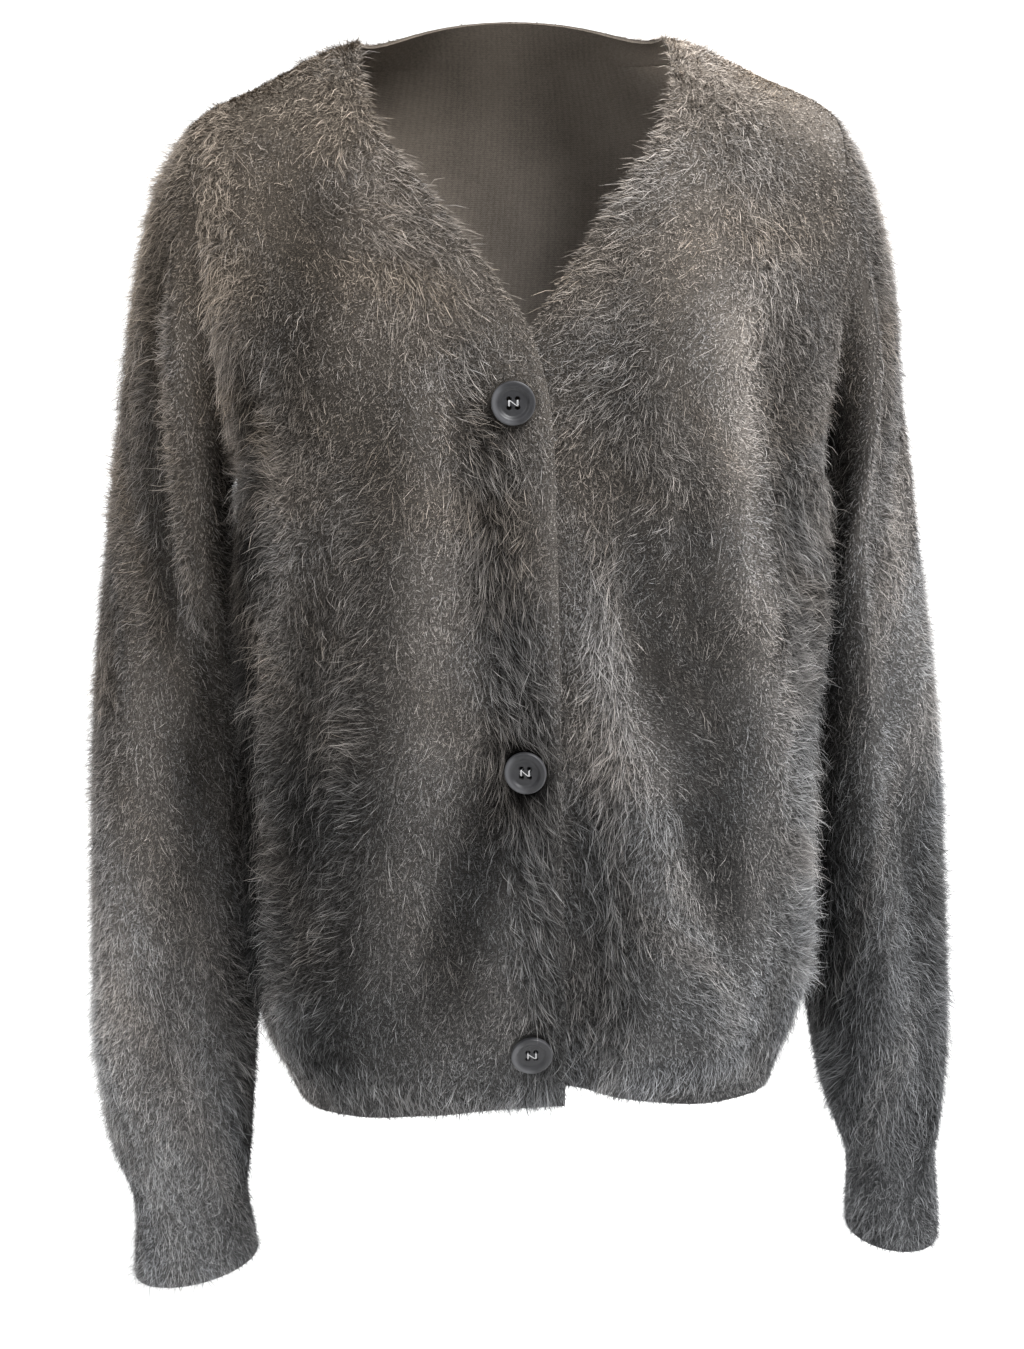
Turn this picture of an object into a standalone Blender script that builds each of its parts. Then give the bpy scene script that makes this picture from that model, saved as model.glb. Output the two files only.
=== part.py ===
"""A long-pile knitted cardigan with a V neck, drop shoulders, three buttons and gathered hem and cuffs.

It hangs as it is worn, hollow, and faces -Y. Each front, with its band and hem, is one grid of points over
the wearer's form, cut into pieces along the seams, and so are the back and the sleeves. The outer face is
the tips of the pile, the inner face the back of the knit. Metres, +Z up, the wearer's left at +X, and the
origin between the shoulders at the height of the neck.
"""

from math import pi

import bmesh
import bpy
import numpy as np
from mathutils import Matrix, Vector

# Driving dimensions
WALL = 0.0065  # knit and pile of a panel
BAND_WALL = 0.0045  # the denser front band, whose pile is pressed down
BAND_DROP = WALL - BAND_WALL  # its face lies this much lower than the panel's
GAP = 0.0003  # between pieces at a seam
BAND_WIDTH = 0.038
LAP_EDGE = 0.0095  # how far the right front passes the middle
LAP_ROOM = 0.0022  # between the two bands where the fronts cross
UNDER_EDGE = 0.0245  # how far the left front runs on under it
UNDERARM_Z = -0.250
BODY_LENGTH = 0.350  # from the underarm to the hem, at the middle of the front
SIDE_SAG = 0.022  # the sides and the back hang lower than the front
SIDE_DENT = 0.009  # how far each sleeve presses the side in, behind its widest line
LEFT_LIFT = 0.008  # the left front's hem is drawn up beside the lap
HEM_SHARE = 0.845  # where the hem band starts, as a share of BODY_LENGTH
SECTION_POWER = 2.3  # 2 is an ellipse, more is squarer
SHOULDER_Y = 0.005
NECK_TOP_Z = 0.014  # top of the back neck band
SHOULDER_END = 0.184
BUTTON_DIAMETER, BUTTON_HEIGHT = 0.023, 0.0034
BUTTON_HOLE, BUTTON_HOLE_STEP = 0.0024, 0.0044  # diameter, and from hole to hole
BUTTON_ROOM = 0.0003  # under a button, besides the gap, for the band's twisted facets
BUTTON_HEIGHTS = (-0.205, -0.401, -0.563)
NECK_SHARE = 0.56  # of the back's half width, at the corner between neck and shoulder
CUFF_GATHERS, HEM_GATHERS = 7, 9  # soft waves above each cuff, and above the hem on each half
CUFF_GATHER, HEM_GATHER = 0.0022, 0.0016  # how high they are
CUFF_TILT = {-1: 0.012, 1: 0.004}  # how much higher each cuff ends on the body's side

# Body sections below the underarm: share of the length, half widths, depths to the front and the back
SECTIONS = np.array(
    [
        # drop, right, left, front, back
        (0.00, 0.167, 0.177, 0.142, 0.120),
        (0.12, 0.170, 0.179, 0.143, 0.120),
        (0.35, 0.174, 0.176, 0.142, 0.121),
        (0.55, 0.176, 0.172, 0.140, 0.123),
        (0.72, 0.178, 0.173, 0.139, 0.125),
        (0.83, 0.176, 0.171, 0.136, 0.123),
        (0.90, 0.163, 0.159, 0.129, 0.116),
        (1.00, 0.148, 0.146, 0.119, 0.107),
    ]
)

# Free edge of the fronts from the underarm to the shoulder: outward distance of each front's edge from the
# middle, negative once it has crossed it
NECK_EDGE = np.array(
    [
        # rise, right, left, y, z
        (0.00, -LAP_EDGE, -UNDER_EDGE, -0.1420, -0.250),
        (0.14, -0.0085, -0.0240, -0.1425, -0.216),
        (0.24, -0.0045, -0.0160, -0.1410, -0.189),
        (0.33, 0.0040, 0.0000, -0.1380, -0.163),
        (0.42, 0.0180, 0.0165, -0.1310, -0.141),
        (0.51, 0.0350, 0.0340, -0.1215, -0.117),
        (0.60, 0.0510, 0.0505, -0.1080, -0.094),
        (0.69, 0.0665, 0.0665, -0.0920, -0.073),
        (0.78, 0.0795, 0.0790, -0.0720, -0.052),
        (0.86, 0.0855, 0.0850, -0.0500, -0.032),
        (0.93, 0.0870, 0.0870, -0.0250, -0.013),
        (1.00, 0.0870, 0.0870, 0.0050, -0.002),
    ]
)

# Middle of the back from the underarm to the neck seam
BACK_MIDDLE = np.array(
    [
        # rise, y, z
        (0.00, 0.120, -0.250),
        (0.30, 0.122, -0.180),
        (0.55, 0.117, -0.115),
        (0.78, 0.104, -0.058),
        (0.90, 0.091, -0.030),
        (1.00, 0.078, -0.010),
    ]
)

# Top line of the shoulder
SHOULDER = np.array(
    [
        # x, z
        (0.087, -0.002),
        (0.105, -0.007),
        (0.125, -0.016),
        (0.145, -0.026),
        (0.165, -0.035),
        (0.176, -0.041),
        (0.184, -0.047),
    ]
)

# Rings of the sleeves: outer and inner end of each ring, its middle's y and half its depth
SLEEVE_RIGHT = np.array(
    [
        # station, outer x, outer z, inner x, inner z, y, depth
        (0, 0.1840, -0.047, 0.1670, -0.250, 0.005, 0.066),
        (1, 0.2030, -0.075, 0.1700, -0.263, 0.008, 0.066),
        (2, 0.2155, -0.110, 0.1695, -0.275, 0.014, 0.064),
        (3, 0.2255, -0.148, 0.1680, -0.290, 0.022, 0.061),
        (4, 0.2340, -0.190, 0.1665, -0.309, 0.032, 0.058),
        (5, 0.2430, -0.235, 0.1640, -0.332, 0.041, 0.056),
        (6, 0.2530, -0.285, 0.1625, -0.362, 0.048, 0.054),
        (7, 0.2625, -0.345, 0.1620, -0.401, 0.053, 0.053),
        (8, 0.2695, -0.410, 0.1625, -0.450, 0.055, 0.053),
        (9, 0.2740, -0.480, 0.1640, -0.505, 0.055, 0.053),
        (10, 0.2770, -0.545, 0.1680, -0.560, 0.054, 0.053),
        (11, 0.2780, -0.600, 0.1730, -0.610, 0.051, 0.053),
        (12, 0.2750, -0.647, 0.1780, -0.655, 0.048, 0.050),
        (13, 0.2670, -0.686, 0.1820, -0.690, 0.045, 0.043),
        (14, 0.2580, -0.706, 0.1850, -0.706, 0.044, 0.036),
    ],
    float,
)
SLEEVE_LEFT = np.array(
    [
        # station, outer x, outer z, inner x, inner z, y, depth
        (0, 0.1840, -0.047, 0.1770, -0.250, 0.005, 0.066),
        (1, 0.2020, -0.077, 0.1815, -0.263, 0.008, 0.066),
        (2, 0.2160, -0.115, 0.1825, -0.275, 0.014, 0.064),
        (3, 0.2255, -0.153, 0.1810, -0.290, 0.022, 0.061),
        (4, 0.2310, -0.193, 0.1780, -0.309, 0.032, 0.058),
        (5, 0.2355, -0.238, 0.1745, -0.332, 0.041, 0.056),
        (6, 0.2430, -0.288, 0.1705, -0.362, 0.048, 0.054),
        (7, 0.2530, -0.345, 0.1670, -0.401, 0.053, 0.053),
        (8, 0.2620, -0.410, 0.1650, -0.450, 0.055, 0.053),
        (9, 0.2680, -0.480, 0.1660, -0.505, 0.055, 0.053),
        (10, 0.2715, -0.545, 0.1715, -0.560, 0.054, 0.053),
        (11, 0.2725, -0.600, 0.1790, -0.610, 0.051, 0.052),
        (12, 0.2710, -0.650, 0.1860, -0.652, 0.048, 0.048),
        (13, 0.2670, -0.688, 0.1970, -0.686, 0.045, 0.040),
        (14, 0.2640, -0.704, 0.2050, -0.702, 0.044, 0.032),
    ],
    float,
)

# Cuffs: how far down, then the ring's half width on the right and the left sleeve, and half its depth
CUFF = np.array(
    [
        # drop, right, left, depth
        (0.000, 0.0365, 0.0295, 0.033),
        (0.012, 0.0380, 0.0305, 0.035),
        (0.040, 0.0410, 0.0320, 0.039),
        (0.058, 0.0425, 0.0320, 0.040),
    ]
)

# Soft folds, raised or sunk along a line: both ends as x and z, half width and height
FRONT_FOLDS = np.array(
    [
        # x, z, x, z, width, height
        (-0.096, -0.262, -0.090, -0.390, 0.024, 0.0065),
        (-0.094, -0.400, -0.130, -0.540, 0.020, 0.0087),
        (-0.136, -0.330, -0.150, -0.500, 0.014, -0.0065),
        (-0.030, -0.420, -0.074, -0.535, 0.017, -0.0094),
        (-0.120, -0.110, -0.140, -0.200, 0.022, -0.0058),
        (0.112, -0.180, 0.124, -0.320, 0.016, 0.0072),
        (0.126, -0.330, 0.146, -0.430, 0.014, 0.0087),
        (0.092, -0.290, 0.106, -0.470, 0.017, -0.0080),
        (0.040, -0.350, 0.098, -0.535, 0.018, 0.0094),
        (0.034, -0.440, 0.046, -0.540, 0.013, -0.0087),
        (0.060, -0.120, 0.080, -0.230, 0.024, -0.0043),
    ]
)
BACK_FOLDS = np.array(
    [
        # x, z, x, z, width, height
        (-0.120, -0.200, -0.104, -0.380, 0.020, 0.0065),
        (-0.080, -0.360, -0.060, -0.540, 0.018, -0.0078),
        (-0.030, -0.300, -0.012, -0.520, 0.022, 0.0065),
        (0.050, -0.240, 0.030, -0.420, 0.020, -0.0059),
        (0.078, -0.340, 0.070, -0.540, 0.018, 0.0078),
        (0.128, -0.160, 0.112, -0.360, 0.020, -0.0065),
        (0.000, -0.080, 0.006, -0.200, 0.030, -0.0046),
    ]
)
# Folds of the sleeves: both ends as the turn round the sleeve and the height, half width and height
SLEEVE_FOLDS = {
    -1: np.array(
        [
            # turn, z, turn, z, width, height
            (0.75, -0.130, 1.45, -0.330, 0.011, -0.0065),
            (1.30, -0.120, 1.95, -0.300, 0.014, 0.0050),
            (0.50, -0.330, 1.10, -0.480, 0.016, -0.0045),
            (1.10, -0.400, 0.80, -0.600, 0.018, 0.0045),
            (1.95, -0.420, 1.55, -0.600, 0.014, -0.0050),
            (4.60, -0.150, 4.10, -0.340, 0.014, -0.0055),
            (5.30, -0.260, 5.00, -0.460, 0.018, 0.0045),
            (4.30, -0.420, 4.80, -0.620, 0.016, -0.0050),
        ]
    ),
    1: np.array(
        [
            # turn, z, turn, z, width, height
            (0.95, -0.150, 1.35, -0.330, 0.012, -0.0055),
            (1.45, -0.130, 1.90, -0.290, 0.014, 0.0045),
            (0.45, -0.280, 0.75, -0.460, 0.016, 0.0055),
            (1.25, -0.380, 1.00, -0.560, 0.015, -0.0055),
            (1.70, -0.450, 1.45, -0.640, 0.014, 0.0050),
            (4.50, -0.160, 4.20, -0.350, 0.014, -0.0055),
            (5.20, -0.280, 5.05, -0.470, 0.018, 0.0045),
            (4.40, -0.420, 4.75, -0.620, 0.016, -0.0050),
        ]
    ),
}
SLEEVE_RADIUS = 0.05  # turns a fold's turn into a length round the sleeve

# Grid sizes
FRONT_COLUMNS, BAND_COLUMNS = 12, 3
HEM_ROWS, BODY_ROWS, YOKE_ROWS = 3, 13, 12
BACK_NECK_COLUMNS, BACK_SHOULDER_COLUMNS = 5, 6
NECK_BAND_ROWS = 3
SLEEVE_AROUND, SLEEVE_RINGS = 2 * YOKE_ROWS, 22
SLEEVE_PARTS = {"upper": (0, 7), "middle": (7, 14), "lower": (14, SLEEVE_RINGS)}  # first and last ring


def smooth_step(value):
    value = np.clip(value, 0, 1)
    return value * value * (3 - 2 * value)


def mix(a, b, share):
    return a + (b - a) * share


def through(knots, values, at):
    """A smooth curve through a table's column: cubic pieces with the slopes of its neighbours."""
    slopes = np.gradient(values, knots)
    at = np.clip(at, knots[0], knots[-1])
    left = np.clip(np.searchsorted(knots, at, "right") - 1, 0, len(knots) - 2)
    width = knots[left + 1] - knots[left]
    t = (at - knots[left]) / width
    start, end = values[left], values[left + 1]
    rise = slopes[left] * width
    fall = slopes[left + 1] * width
    return (
        start * (1 + 2 * t) * (1 - t) ** 2
        + rise * t * (1 - t) ** 2
        + end * t * t * (3 - 2 * t)
        - fall * t * t * (1 - t)
    )


def column(table, number, at):
    return through(table[:, 0], table[:, number], at)


def normals(grid):
    """Unit normals of a grid of points, from its neighbours, with rows first."""
    across = np.gradient(grid, axis=1)
    along = np.gradient(grid, axis=0)
    normal = np.cross(across, along)
    return normal / np.linalg.norm(normal, axis=2, keepdims=True)


def ring_normals(rings):
    """normals of closed rings."""
    wrapped = np.concatenate([rings[:, -1:], rings, rings[:, :1]], axis=1)
    return normals(wrapped)[:, 1:-1]


def unit(vectors):
    return vectors / np.linalg.norm(vectors, axis=-1, keepdims=True)


def folds(table, x, z):
    """Height of the soft folds at x and z: a smooth bump across each line, drawn out past its ends."""
    total = np.zeros_like(x)
    for x1, z1, x2, z2, width, height in table:
        length = np.hypot(x2 - x1, z2 - z1)
        along = ((x - x1) * (x2 - x1) + (z - z1) * (z2 - z1)) / length
        aside = ((x - x1) * (z2 - z1) - (z - z1) * (x2 - x1)) / length
        past = np.maximum(np.maximum(-along, along - length), 0) / 2
        total += height * np.exp(-(aside**2 + past**2) / width**2)
    return total


def torso(angle, drop):
    """The body below the underarm: angle 0 at the middle of the front, positive to the wearer's left."""
    half = np.where(angle < 0, column(SECTIONS, 1, drop), column(SECTIONS, 2, drop))
    ahead = np.cos(angle) > 0
    depth = np.where(ahead, column(SECTIONS, 3, drop), column(SECTIONS, 4, drop))
    wide = np.abs(np.sin(angle) / half) ** SECTION_POWER
    deep = np.abs(np.cos(angle) / depth) ** SECTION_POWER
    radius = (wide + deep) ** (-1 / SECTION_POWER)
    pressed = smooth_step(drop / 0.10) * (1 - smooth_step((drop - 0.82) / 0.16))
    pressed = pressed * np.exp(-(((np.abs(angle) - 1.85) / 0.32) ** 2))
    radius = radius - SIDE_DENT * pressed
    sag = SIDE_SAG * np.where(ahead, np.sin(angle) ** 2, 1)
    z = UNDERARM_Z - (BODY_LENGTH + sag) * drop
    return np.stack([radius * np.sin(angle), -radius * np.cos(angle), z], -1)


def sleeve_table(side):
    return SLEEVE_RIGHT if side < 0 else SLEEVE_LEFT


def sleeve(side, turn, station):
    """A point of a sleeve: turn 0 at its outer line, pi/2 in front, pi beside the body.

    The armhole is narrower at the bottom, which fades out down the sleeve.
    """
    table = sleeve_table(side)
    outer_x, outer_z, inner_x, inner_z, y, depth = (column(table, n, station) for n in range(1, 7))
    swing = (1 + np.cos(turn)) / 2
    x = mix(inner_x, outer_x, swing)
    z = mix(inner_z, outer_z, swing)
    narrow = 1 + 0.3 * np.cos(turn) * np.exp(-station / 1.5)
    return np.stack([side * x, y - depth * np.sin(turn) * narrow, z], -1)


def armhole_normal(side, turn):
    """The direction both panels and sleeve take as outward where they are sewn together."""
    row = sleeve_table(side)[0]
    up = unit(np.array([side * (row[1] - row[3]), 0, row[2] - row[4]]))
    ahead = np.array([0, -1.0, 0])
    outward = side * np.cross(up, ahead)
    high = np.linalg.norm([row[1] - row[3], row[2] - row[4]]) / 2
    cosine, sine = np.cos(turn)[..., None], np.sin(turn)[..., None]
    round_it = unit(cosine / high * up + sine / row[6] * ahead)
    return unit(round_it + 0.45 * (1 + cosine) * outward)


def shoulder_normal(side, x):
    """Straight out of the top line of the shoulder, at a distance x from the middle."""
    step = 0.001
    slope = (column(SHOULDER, 1, x + step) - column(SHOULDER, 1, x - step)) / (2 * step)
    return unit(np.stack([-side * slope, np.zeros_like(x), np.ones_like(x)], -1))


def yoke_row(side, share, rise, inner, edge_angle, far_angle):
    """Points of a panel above the underarm, from its inner line to the armhole.

    A row starts as the body's section at the underarm and grows straighter towards the shoulder.
    """
    base = torso(side * mix(edge_angle, far_angle, share), np.zeros_like(share))
    first = torso(side * edge_angle * np.ones_like(share), np.zeros_like(share))
    last = torso(side * far_angle * np.ones_like(share), np.zeros_like(share))
    across = (base[..., 0] - first[..., 0]) / (last[..., 0] - first[..., 0])
    deep = (base[..., 1] - last[..., 1]) / (first[..., 1] - last[..., 1])
    change = smooth_step(rise * 1.25)
    across = mix(across, share, change)
    deep = mix(deep, 1 - share**1.8, change)
    pull = mix(share**8, 1 - deep, smooth_step(rise / 0.45))
    high = mix(share, smooth_step(share), 0.5)
    turn = pi * (1 - rise)
    ahead = 1 if far_angle > edge_angle else -1
    arm = sleeve(side, turn * ahead, np.zeros_like(rise))
    x = mix(inner[..., 0], arm[..., 0], across)
    y = inner[..., 1] * deep + arm[..., 1] * pull
    z = mix(inner[..., 2], arm[..., 2], high)
    return np.stack([x, y, z], -1)


def front(side, share, rise):
    """A front with its band: share 0 at the free edge, 1 at the side and armhole.

    rise runs from -1 at the hem through 0 at the underarm to 1 at the shoulder.
    """
    edge_column = 1 if side < 0 else 2
    edge = NECK_EDGE[0, edge_column]
    drop = np.clip(-rise, 0, None)
    edge_angle = np.arctan(edge / column(SECTIONS, 3, drop))
    low = torso(side * mix(edge_angle, pi / 2, share), drop)
    up = np.clip(rise, 0, 1)
    inner = np.stack(
        [
            side * column(NECK_EDGE, edge_column, up),
            column(NECK_EDGE, 3, up),
            column(NECK_EDGE, 4, up),
        ],
        -1,
    )
    high = yoke_row(side, share, up, inner, np.arctan(edge / SECTIONS[0, 3]), pi / 2)
    top_x = mix(NECK_EDGE[-1, edge_column], SHOULDER_END, share)
    flat = mix(NECK_EDGE[-1, 4], SHOULDER[-1, 1], mix(share, smooth_step(share), 0.5))
    high[..., 2] += (column(SHOULDER, 1, top_x) - flat) * smooth_step(2 * up - 1)
    return np.where((rise < 0)[..., None], low, high)


def neck_seam(turn):
    """Where the back neck band is sewn to the back: turn 0 at the middle, pi/2 at the shoulder."""
    x = NECK_SEAM_X * np.sin(turn)
    y = SHOULDER_Y + (BACK_MIDDLE[-1, 1] - SHOULDER_Y) * np.cos(turn)
    z = mix(column(SHOULDER, 1, np.array(NECK_SEAM_X)), BACK_MIDDLE[-1, 2], np.cos(turn) ** 2)
    return np.stack([x, y, z], -1)


def back_top(side, share, neck_share):
    """The back's upper line: neck seam up to neck_share, then the shoulder."""
    neck = neck_seam(np.clip(share / neck_share, 0, 1) * pi / 2)
    along = np.clip((share - neck_share) / (1 - neck_share), 0, 1)
    x = mix(NECK_SEAM_X, SHOULDER_END, along)
    shoulder = np.stack([x, np.full_like(x, SHOULDER_Y), column(SHOULDER, 1, x)], -1)
    top = np.where((share < neck_share)[..., None], neck, shoulder)
    top[..., 0] *= side
    return top


def back(side, share, rise):
    """Half of the back: share 0 at the middle, 1 at the side and armhole."""
    drop = np.clip(-rise, 0, None)
    low = torso(side * mix(pi, pi / 2, share), drop)
    up = np.clip(rise, 0, 1)
    inner = np.stack([np.zeros_like(up), column(BACK_MIDDLE, 1, up), column(BACK_MIDDLE, 2, up)], -1)
    high = yoke_row(side, share, up, inner, pi, pi / 2)
    ones = np.ones_like(up)
    last_inner = np.stack([0 * ones, BACK_MIDDLE[-1, 1] * ones, BACK_MIDDLE[-1, 2] * ones], -1)
    last = yoke_row(side, share, ones, last_inner, pi, pi / 2)
    lift = smooth_step((up - 0.30) / 0.70)[..., None] ** 1.8
    high = high + (back_top(side, share, NECK_SHARE) - last) * lift
    return np.where((rise < 0)[..., None], low, high)


def neck_band(turn, width):
    """The back neck band, from its seam at width 0 to its free edge at width 1."""
    seam = neck_seam(turn)
    edge_x = NECK_EDGE[-1, 1]
    edge = np.stack(
        [
            edge_x * np.sin(turn),
            SHOULDER_Y + 0.056 * np.cos(turn),
            mix(SHOULDER[0, 1], NECK_TOP_Z, np.cos(turn) ** 2),
        ],
        -1,
    )
    band = mix(seam, edge, width[..., None])
    on_shoulder = column(SHOULDER, 1, np.abs(band[..., 0])) - band[..., 2]
    band[..., 2] += on_shoulder * np.abs(np.sin(turn)) ** 6
    return band


def under_lap(points):
    """How far the left front sinks to pass under the right one's edge."""
    rise = np.interp(points[..., 2], NECK_EDGE[:, 4], NECK_EDGE[:, 0])
    lap = np.where(points[..., 2] < UNDERARM_Z, LAP_EDGE, -column(NECK_EDGE, 1, rise))
    return (BAND_WALL + LAP_ROOM) * (1 - smooth_step((points[..., 0] - lap - 0.004) / 0.026))


def new_material(name, colour, roughness):
    material = bpy.data.materials.new(name)
    material.use_nodes = True
    shader = material.node_tree.nodes["Principled BSDF"]
    shader.inputs["Base Color"].default_value = (*colour, 1)
    shader.inputs["Roughness"].default_value = roughness
    shader.inputs["Metallic"].default_value = 0
    return material


def add_object(name, mesh, material):
    mesh.materials.append(material)
    made = bpy.data.objects.new(name, mesh)
    cardigan.objects.link(made)
    return made


def add_wall(name, outer, inner, closed=False):
    """A closed wall between two grids of points, a loft between unlike rows. closed joins its two sides."""
    rows, columns, _ = outer.shape
    form = bmesh.new()
    faces = [[[form.verts.new(p) for p in row] for row in grid] for grid in (outer, inner)]
    around = range(columns) if closed else range(columns - 1)
    for row in range(rows - 1):
        for start in around:
            end = (start + 1) % columns
            for grid in faces:
                form.faces.new((grid[row][start], grid[row][end], grid[row + 1][end], grid[row + 1][start]))
    for row in (0, rows - 1):
        for start in around:
            end = (start + 1) % columns
            form.faces.new([faces[0][row][start], faces[0][row][end], faces[1][row][end], faces[1][row][start]])
    if not closed:
        for edge in (0, columns - 1):
            for row in range(rows - 1):
                above = row + 1
                form.faces.new(
                    [faces[0][row][edge], faces[0][above][edge], faces[1][above][edge], faces[1][row][edge]]
                )
    bmesh.ops.recalc_face_normals(form, faces=form.faces)
    mesh = bpy.data.meshes.new(name)
    form.to_mesh(mesh)
    form.free()
    mesh.shade_smooth()
    return add_object(name, mesh, pile)


def cut_piece(name, points, outward, rows, columns, sink=0.0, wall=WALL, nudge=None):
    """One piece of a panel's grid: rows and columns are its first and last, kept GAP apart at the seams."""
    window = np.s_[rows[0] : rows[1] + 1, columns[0] : columns[1] + 1]
    place, normal = points[window].copy(), outward[window]
    if nudge is not None:
        place += nudge[window]
    across = unit(np.gradient(place, axis=1))
    along = unit(np.gradient(place, axis=0))
    if columns[0] > 0:
        place[:, 0] += across[:, 0] * GAP / 2
    if columns[1] < points.shape[1] - 1:
        place[:, -1] -= across[:, -1] * GAP / 2
    if rows[0] > 0:
        place[0] += along[0] * GAP / 2
    if rows[1] < points.shape[0] - 1:
        place[-1] -= along[-1] * GAP / 2
    return add_wall(name, place - normal * sink, place - normal * (sink + wall))


def row_heights():
    """rise of each row, from the hem to the shoulder, and the row of the hem seam."""
    hem = np.linspace(-1, -HEM_SHARE, HEM_ROWS + 1)
    body = np.linspace(-HEM_SHARE, 0, BODY_ROWS + 1)
    yoke = np.linspace(0, 1, YOKE_ROWS + 1)
    return np.concatenate([hem, body[1:], yoke[1:]])


def front_shares(side, rise):
    """Even columns along each row of a front: the band's, then the panel's. Each row is measured out."""
    fine = np.linspace(0, 1, 61)
    share, high = np.meshgrid(fine, rise)
    steps = np.linalg.norm(np.diff(front(side, share, high), axis=1), axis=2)
    length = np.concatenate([np.zeros((len(rise), 1)), steps.cumsum(1)], axis=1)
    found = []
    for row in length:
        band = np.linspace(0, BAND_WIDTH, BAND_COLUMNS + 1)
        panel = np.linspace(BAND_WIDTH, row[-1], FRONT_COLUMNS + 1)[1:]
        found.append(np.interp(np.concatenate([band, panel]), row, fine))
    return np.array(found)


def seam_shift(side, shape, rise, ahead):
    """Half a gap away from the sleeve, the other half of the body and the other panel at the shoulder."""
    shift = np.zeros((*shape, 3))
    shift[rise >= 0, -1, 0] -= side * GAP / 2
    shift[rise <= 0, -1, 1] -= ahead * GAP / 2
    shift[-1, :, 1] -= ahead * GAP / 2
    return shift


def fold_panel(points, outward, table, share, rise):
    """Raises a panel's folds, which fade out at the side, the armhole, the shoulder and in the hem."""
    inside = 1 - smooth_step((share - 0.84) / 0.16)
    upright = smooth_step((rise + 1.02) / 0.25) * (1 - smooth_step((rise - 0.6) / 0.4))
    height = folds(table, points[..., 0], points[..., 2]) * inside * upright[:, None]
    gathered = np.exp(-(((rise + HEM_SHARE) / 0.13) ** 2))[:, None]
    wave = np.sin(pi * HEM_GATHERS * share**1.15) * smooth_step(share / 0.25) * inside
    height += HEM_GATHER * gathered * wave
    return points + outward * height[..., None]


def build_front(side, name):
    rise = row_heights()
    share = front_shares(side, rise)
    points = front(side, share, rise[:, None] * np.ones_like(share))
    points = fold_panel(points, normals(points) * side, FRONT_FOLDS, share, rise)
    outward = normals(points) * side
    yoke = rise >= 0
    outward[-1] = shoulder_normal(side, np.abs(points[-1, :, 0]))
    outward[yoke, -1] = armhole_normal(side, pi * (1 - rise[yoke]))
    outward[~yoke, -1] = (side, 0, 0)
    if side > 0:
        points = points - outward * under_lap(points)[..., None]
        lift = LEFT_LIFT * (1 - smooth_step(np.abs(points[..., 0]) / 0.09))
        points[..., 2] += lift * np.clip(-rise, 0, 1)[:, None]
    nudge = seam_shift(side, share.shape, rise, 1)
    last_row, last_column = share.shape[0] - 1, share.shape[1] - 1
    seam_column = BAND_COLUMNS
    piece = (points, outward)
    cut_piece(f"band_{name}", *piece, (0, last_row), (0, seam_column), BAND_DROP, BAND_WALL, nudge)
    cut_piece(f"front_{name}", *piece, (HEM_ROWS, last_row), (seam_column, last_column), nudge=nudge)
    cut_piece(f"hem_front_{name}", *piece, (0, HEM_ROWS), (seam_column, last_column), nudge=nudge)
    return points, outward, rise


def build_back():
    rise = row_heights()
    neck = np.linspace(0, NECK_SHARE, BACK_NECK_COLUMNS + 1)
    shoulder = np.linspace(NECK_SHARE, 1, BACK_SHOULDER_COLUMNS + 1)
    half = np.concatenate([neck, shoulder[1:]])
    share = half[None, :] * np.ones_like(rise)[:, None]
    high = rise[:, None] * np.ones_like(share)
    right, left = back(-1, share, high), back(1, share, high)
    points = np.concatenate([right[:, :0:-1], left], axis=1)
    whole_share = np.concatenate([share[:, :0:-1], share], axis=1)
    points = fold_panel(points, -normals(points), BACK_FOLDS, whole_share, rise)
    turn = np.linspace(-pi / 2, pi / 2, 2 * BACK_NECK_COLUMNS + 1)
    width = np.linspace(0, 1, NECK_BAND_ROWS + 1)
    band = neck_band(turn[None, :] * np.ones_like(width)[:, None], width[:, None] * np.ones_like(turn))
    window = np.s_[BACK_SHOULDER_COLUMNS : BACK_SHOULDER_COLUMNS + len(turn)]
    stack = np.concatenate([points[-3:-1, window], band], axis=0)
    stack_normals = -normals(stack)
    outward = -normals(points)
    for side, columns in ((-1, np.s_[: BACK_SHOULDER_COLUMNS + 1]), (1, np.s_[-BACK_SHOULDER_COLUMNS - 1 :])):
        outward[-1, columns] = shoulder_normal(side, np.abs(points[-1, columns, 0]))
    inner = np.s_[BACK_SHOULDER_COLUMNS + 1 : BACK_SHOULDER_COLUMNS + len(turn) - 1]
    outward[-1, inner] = stack_normals[2, 1:-1]
    yoke = rise >= 0
    for side, edge in ((-1, 0), (1, -1)):
        outward[yoke, edge] = armhole_normal(side, -pi * (1 - rise[yoke]))
        outward[~yoke, edge] = (side, 0, 0)
    nudge_half = [seam_shift(side, share.shape, rise, -1) for side in (-1, 1)]
    nudge = np.concatenate([nudge_half[0][:, :0:-1], nudge_half[1]], axis=1)
    last_row, last_column = points.shape[0] - 1, points.shape[1] - 1
    underarm = HEM_ROWS + BODY_ROWS
    cut_piece("back_upper", points, outward, (underarm, last_row), (0, last_column), nudge=nudge)
    cut_piece("back_lower", points, outward, (HEM_ROWS, underarm), (0, last_column), nudge=nudge)
    cut_piece("hem_back", points, outward, (0, HEM_ROWS), (0, last_column), nudge=nudge)
    band_normals = stack_normals[2:]
    for side, edge in ((-1, 0), (1, -1)):
        band_normals[:, edge] = shoulder_normal(side, np.abs(band[:, edge, 0]))
    band = band.copy()
    band[:, (0, -1), 1] += GAP / 2
    band[0] += unit(band[1] - band[0]) * 1.5 * GAP
    add_wall("band_neck", band - band_normals * BAND_DROP, band - band_normals * WALL)


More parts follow.
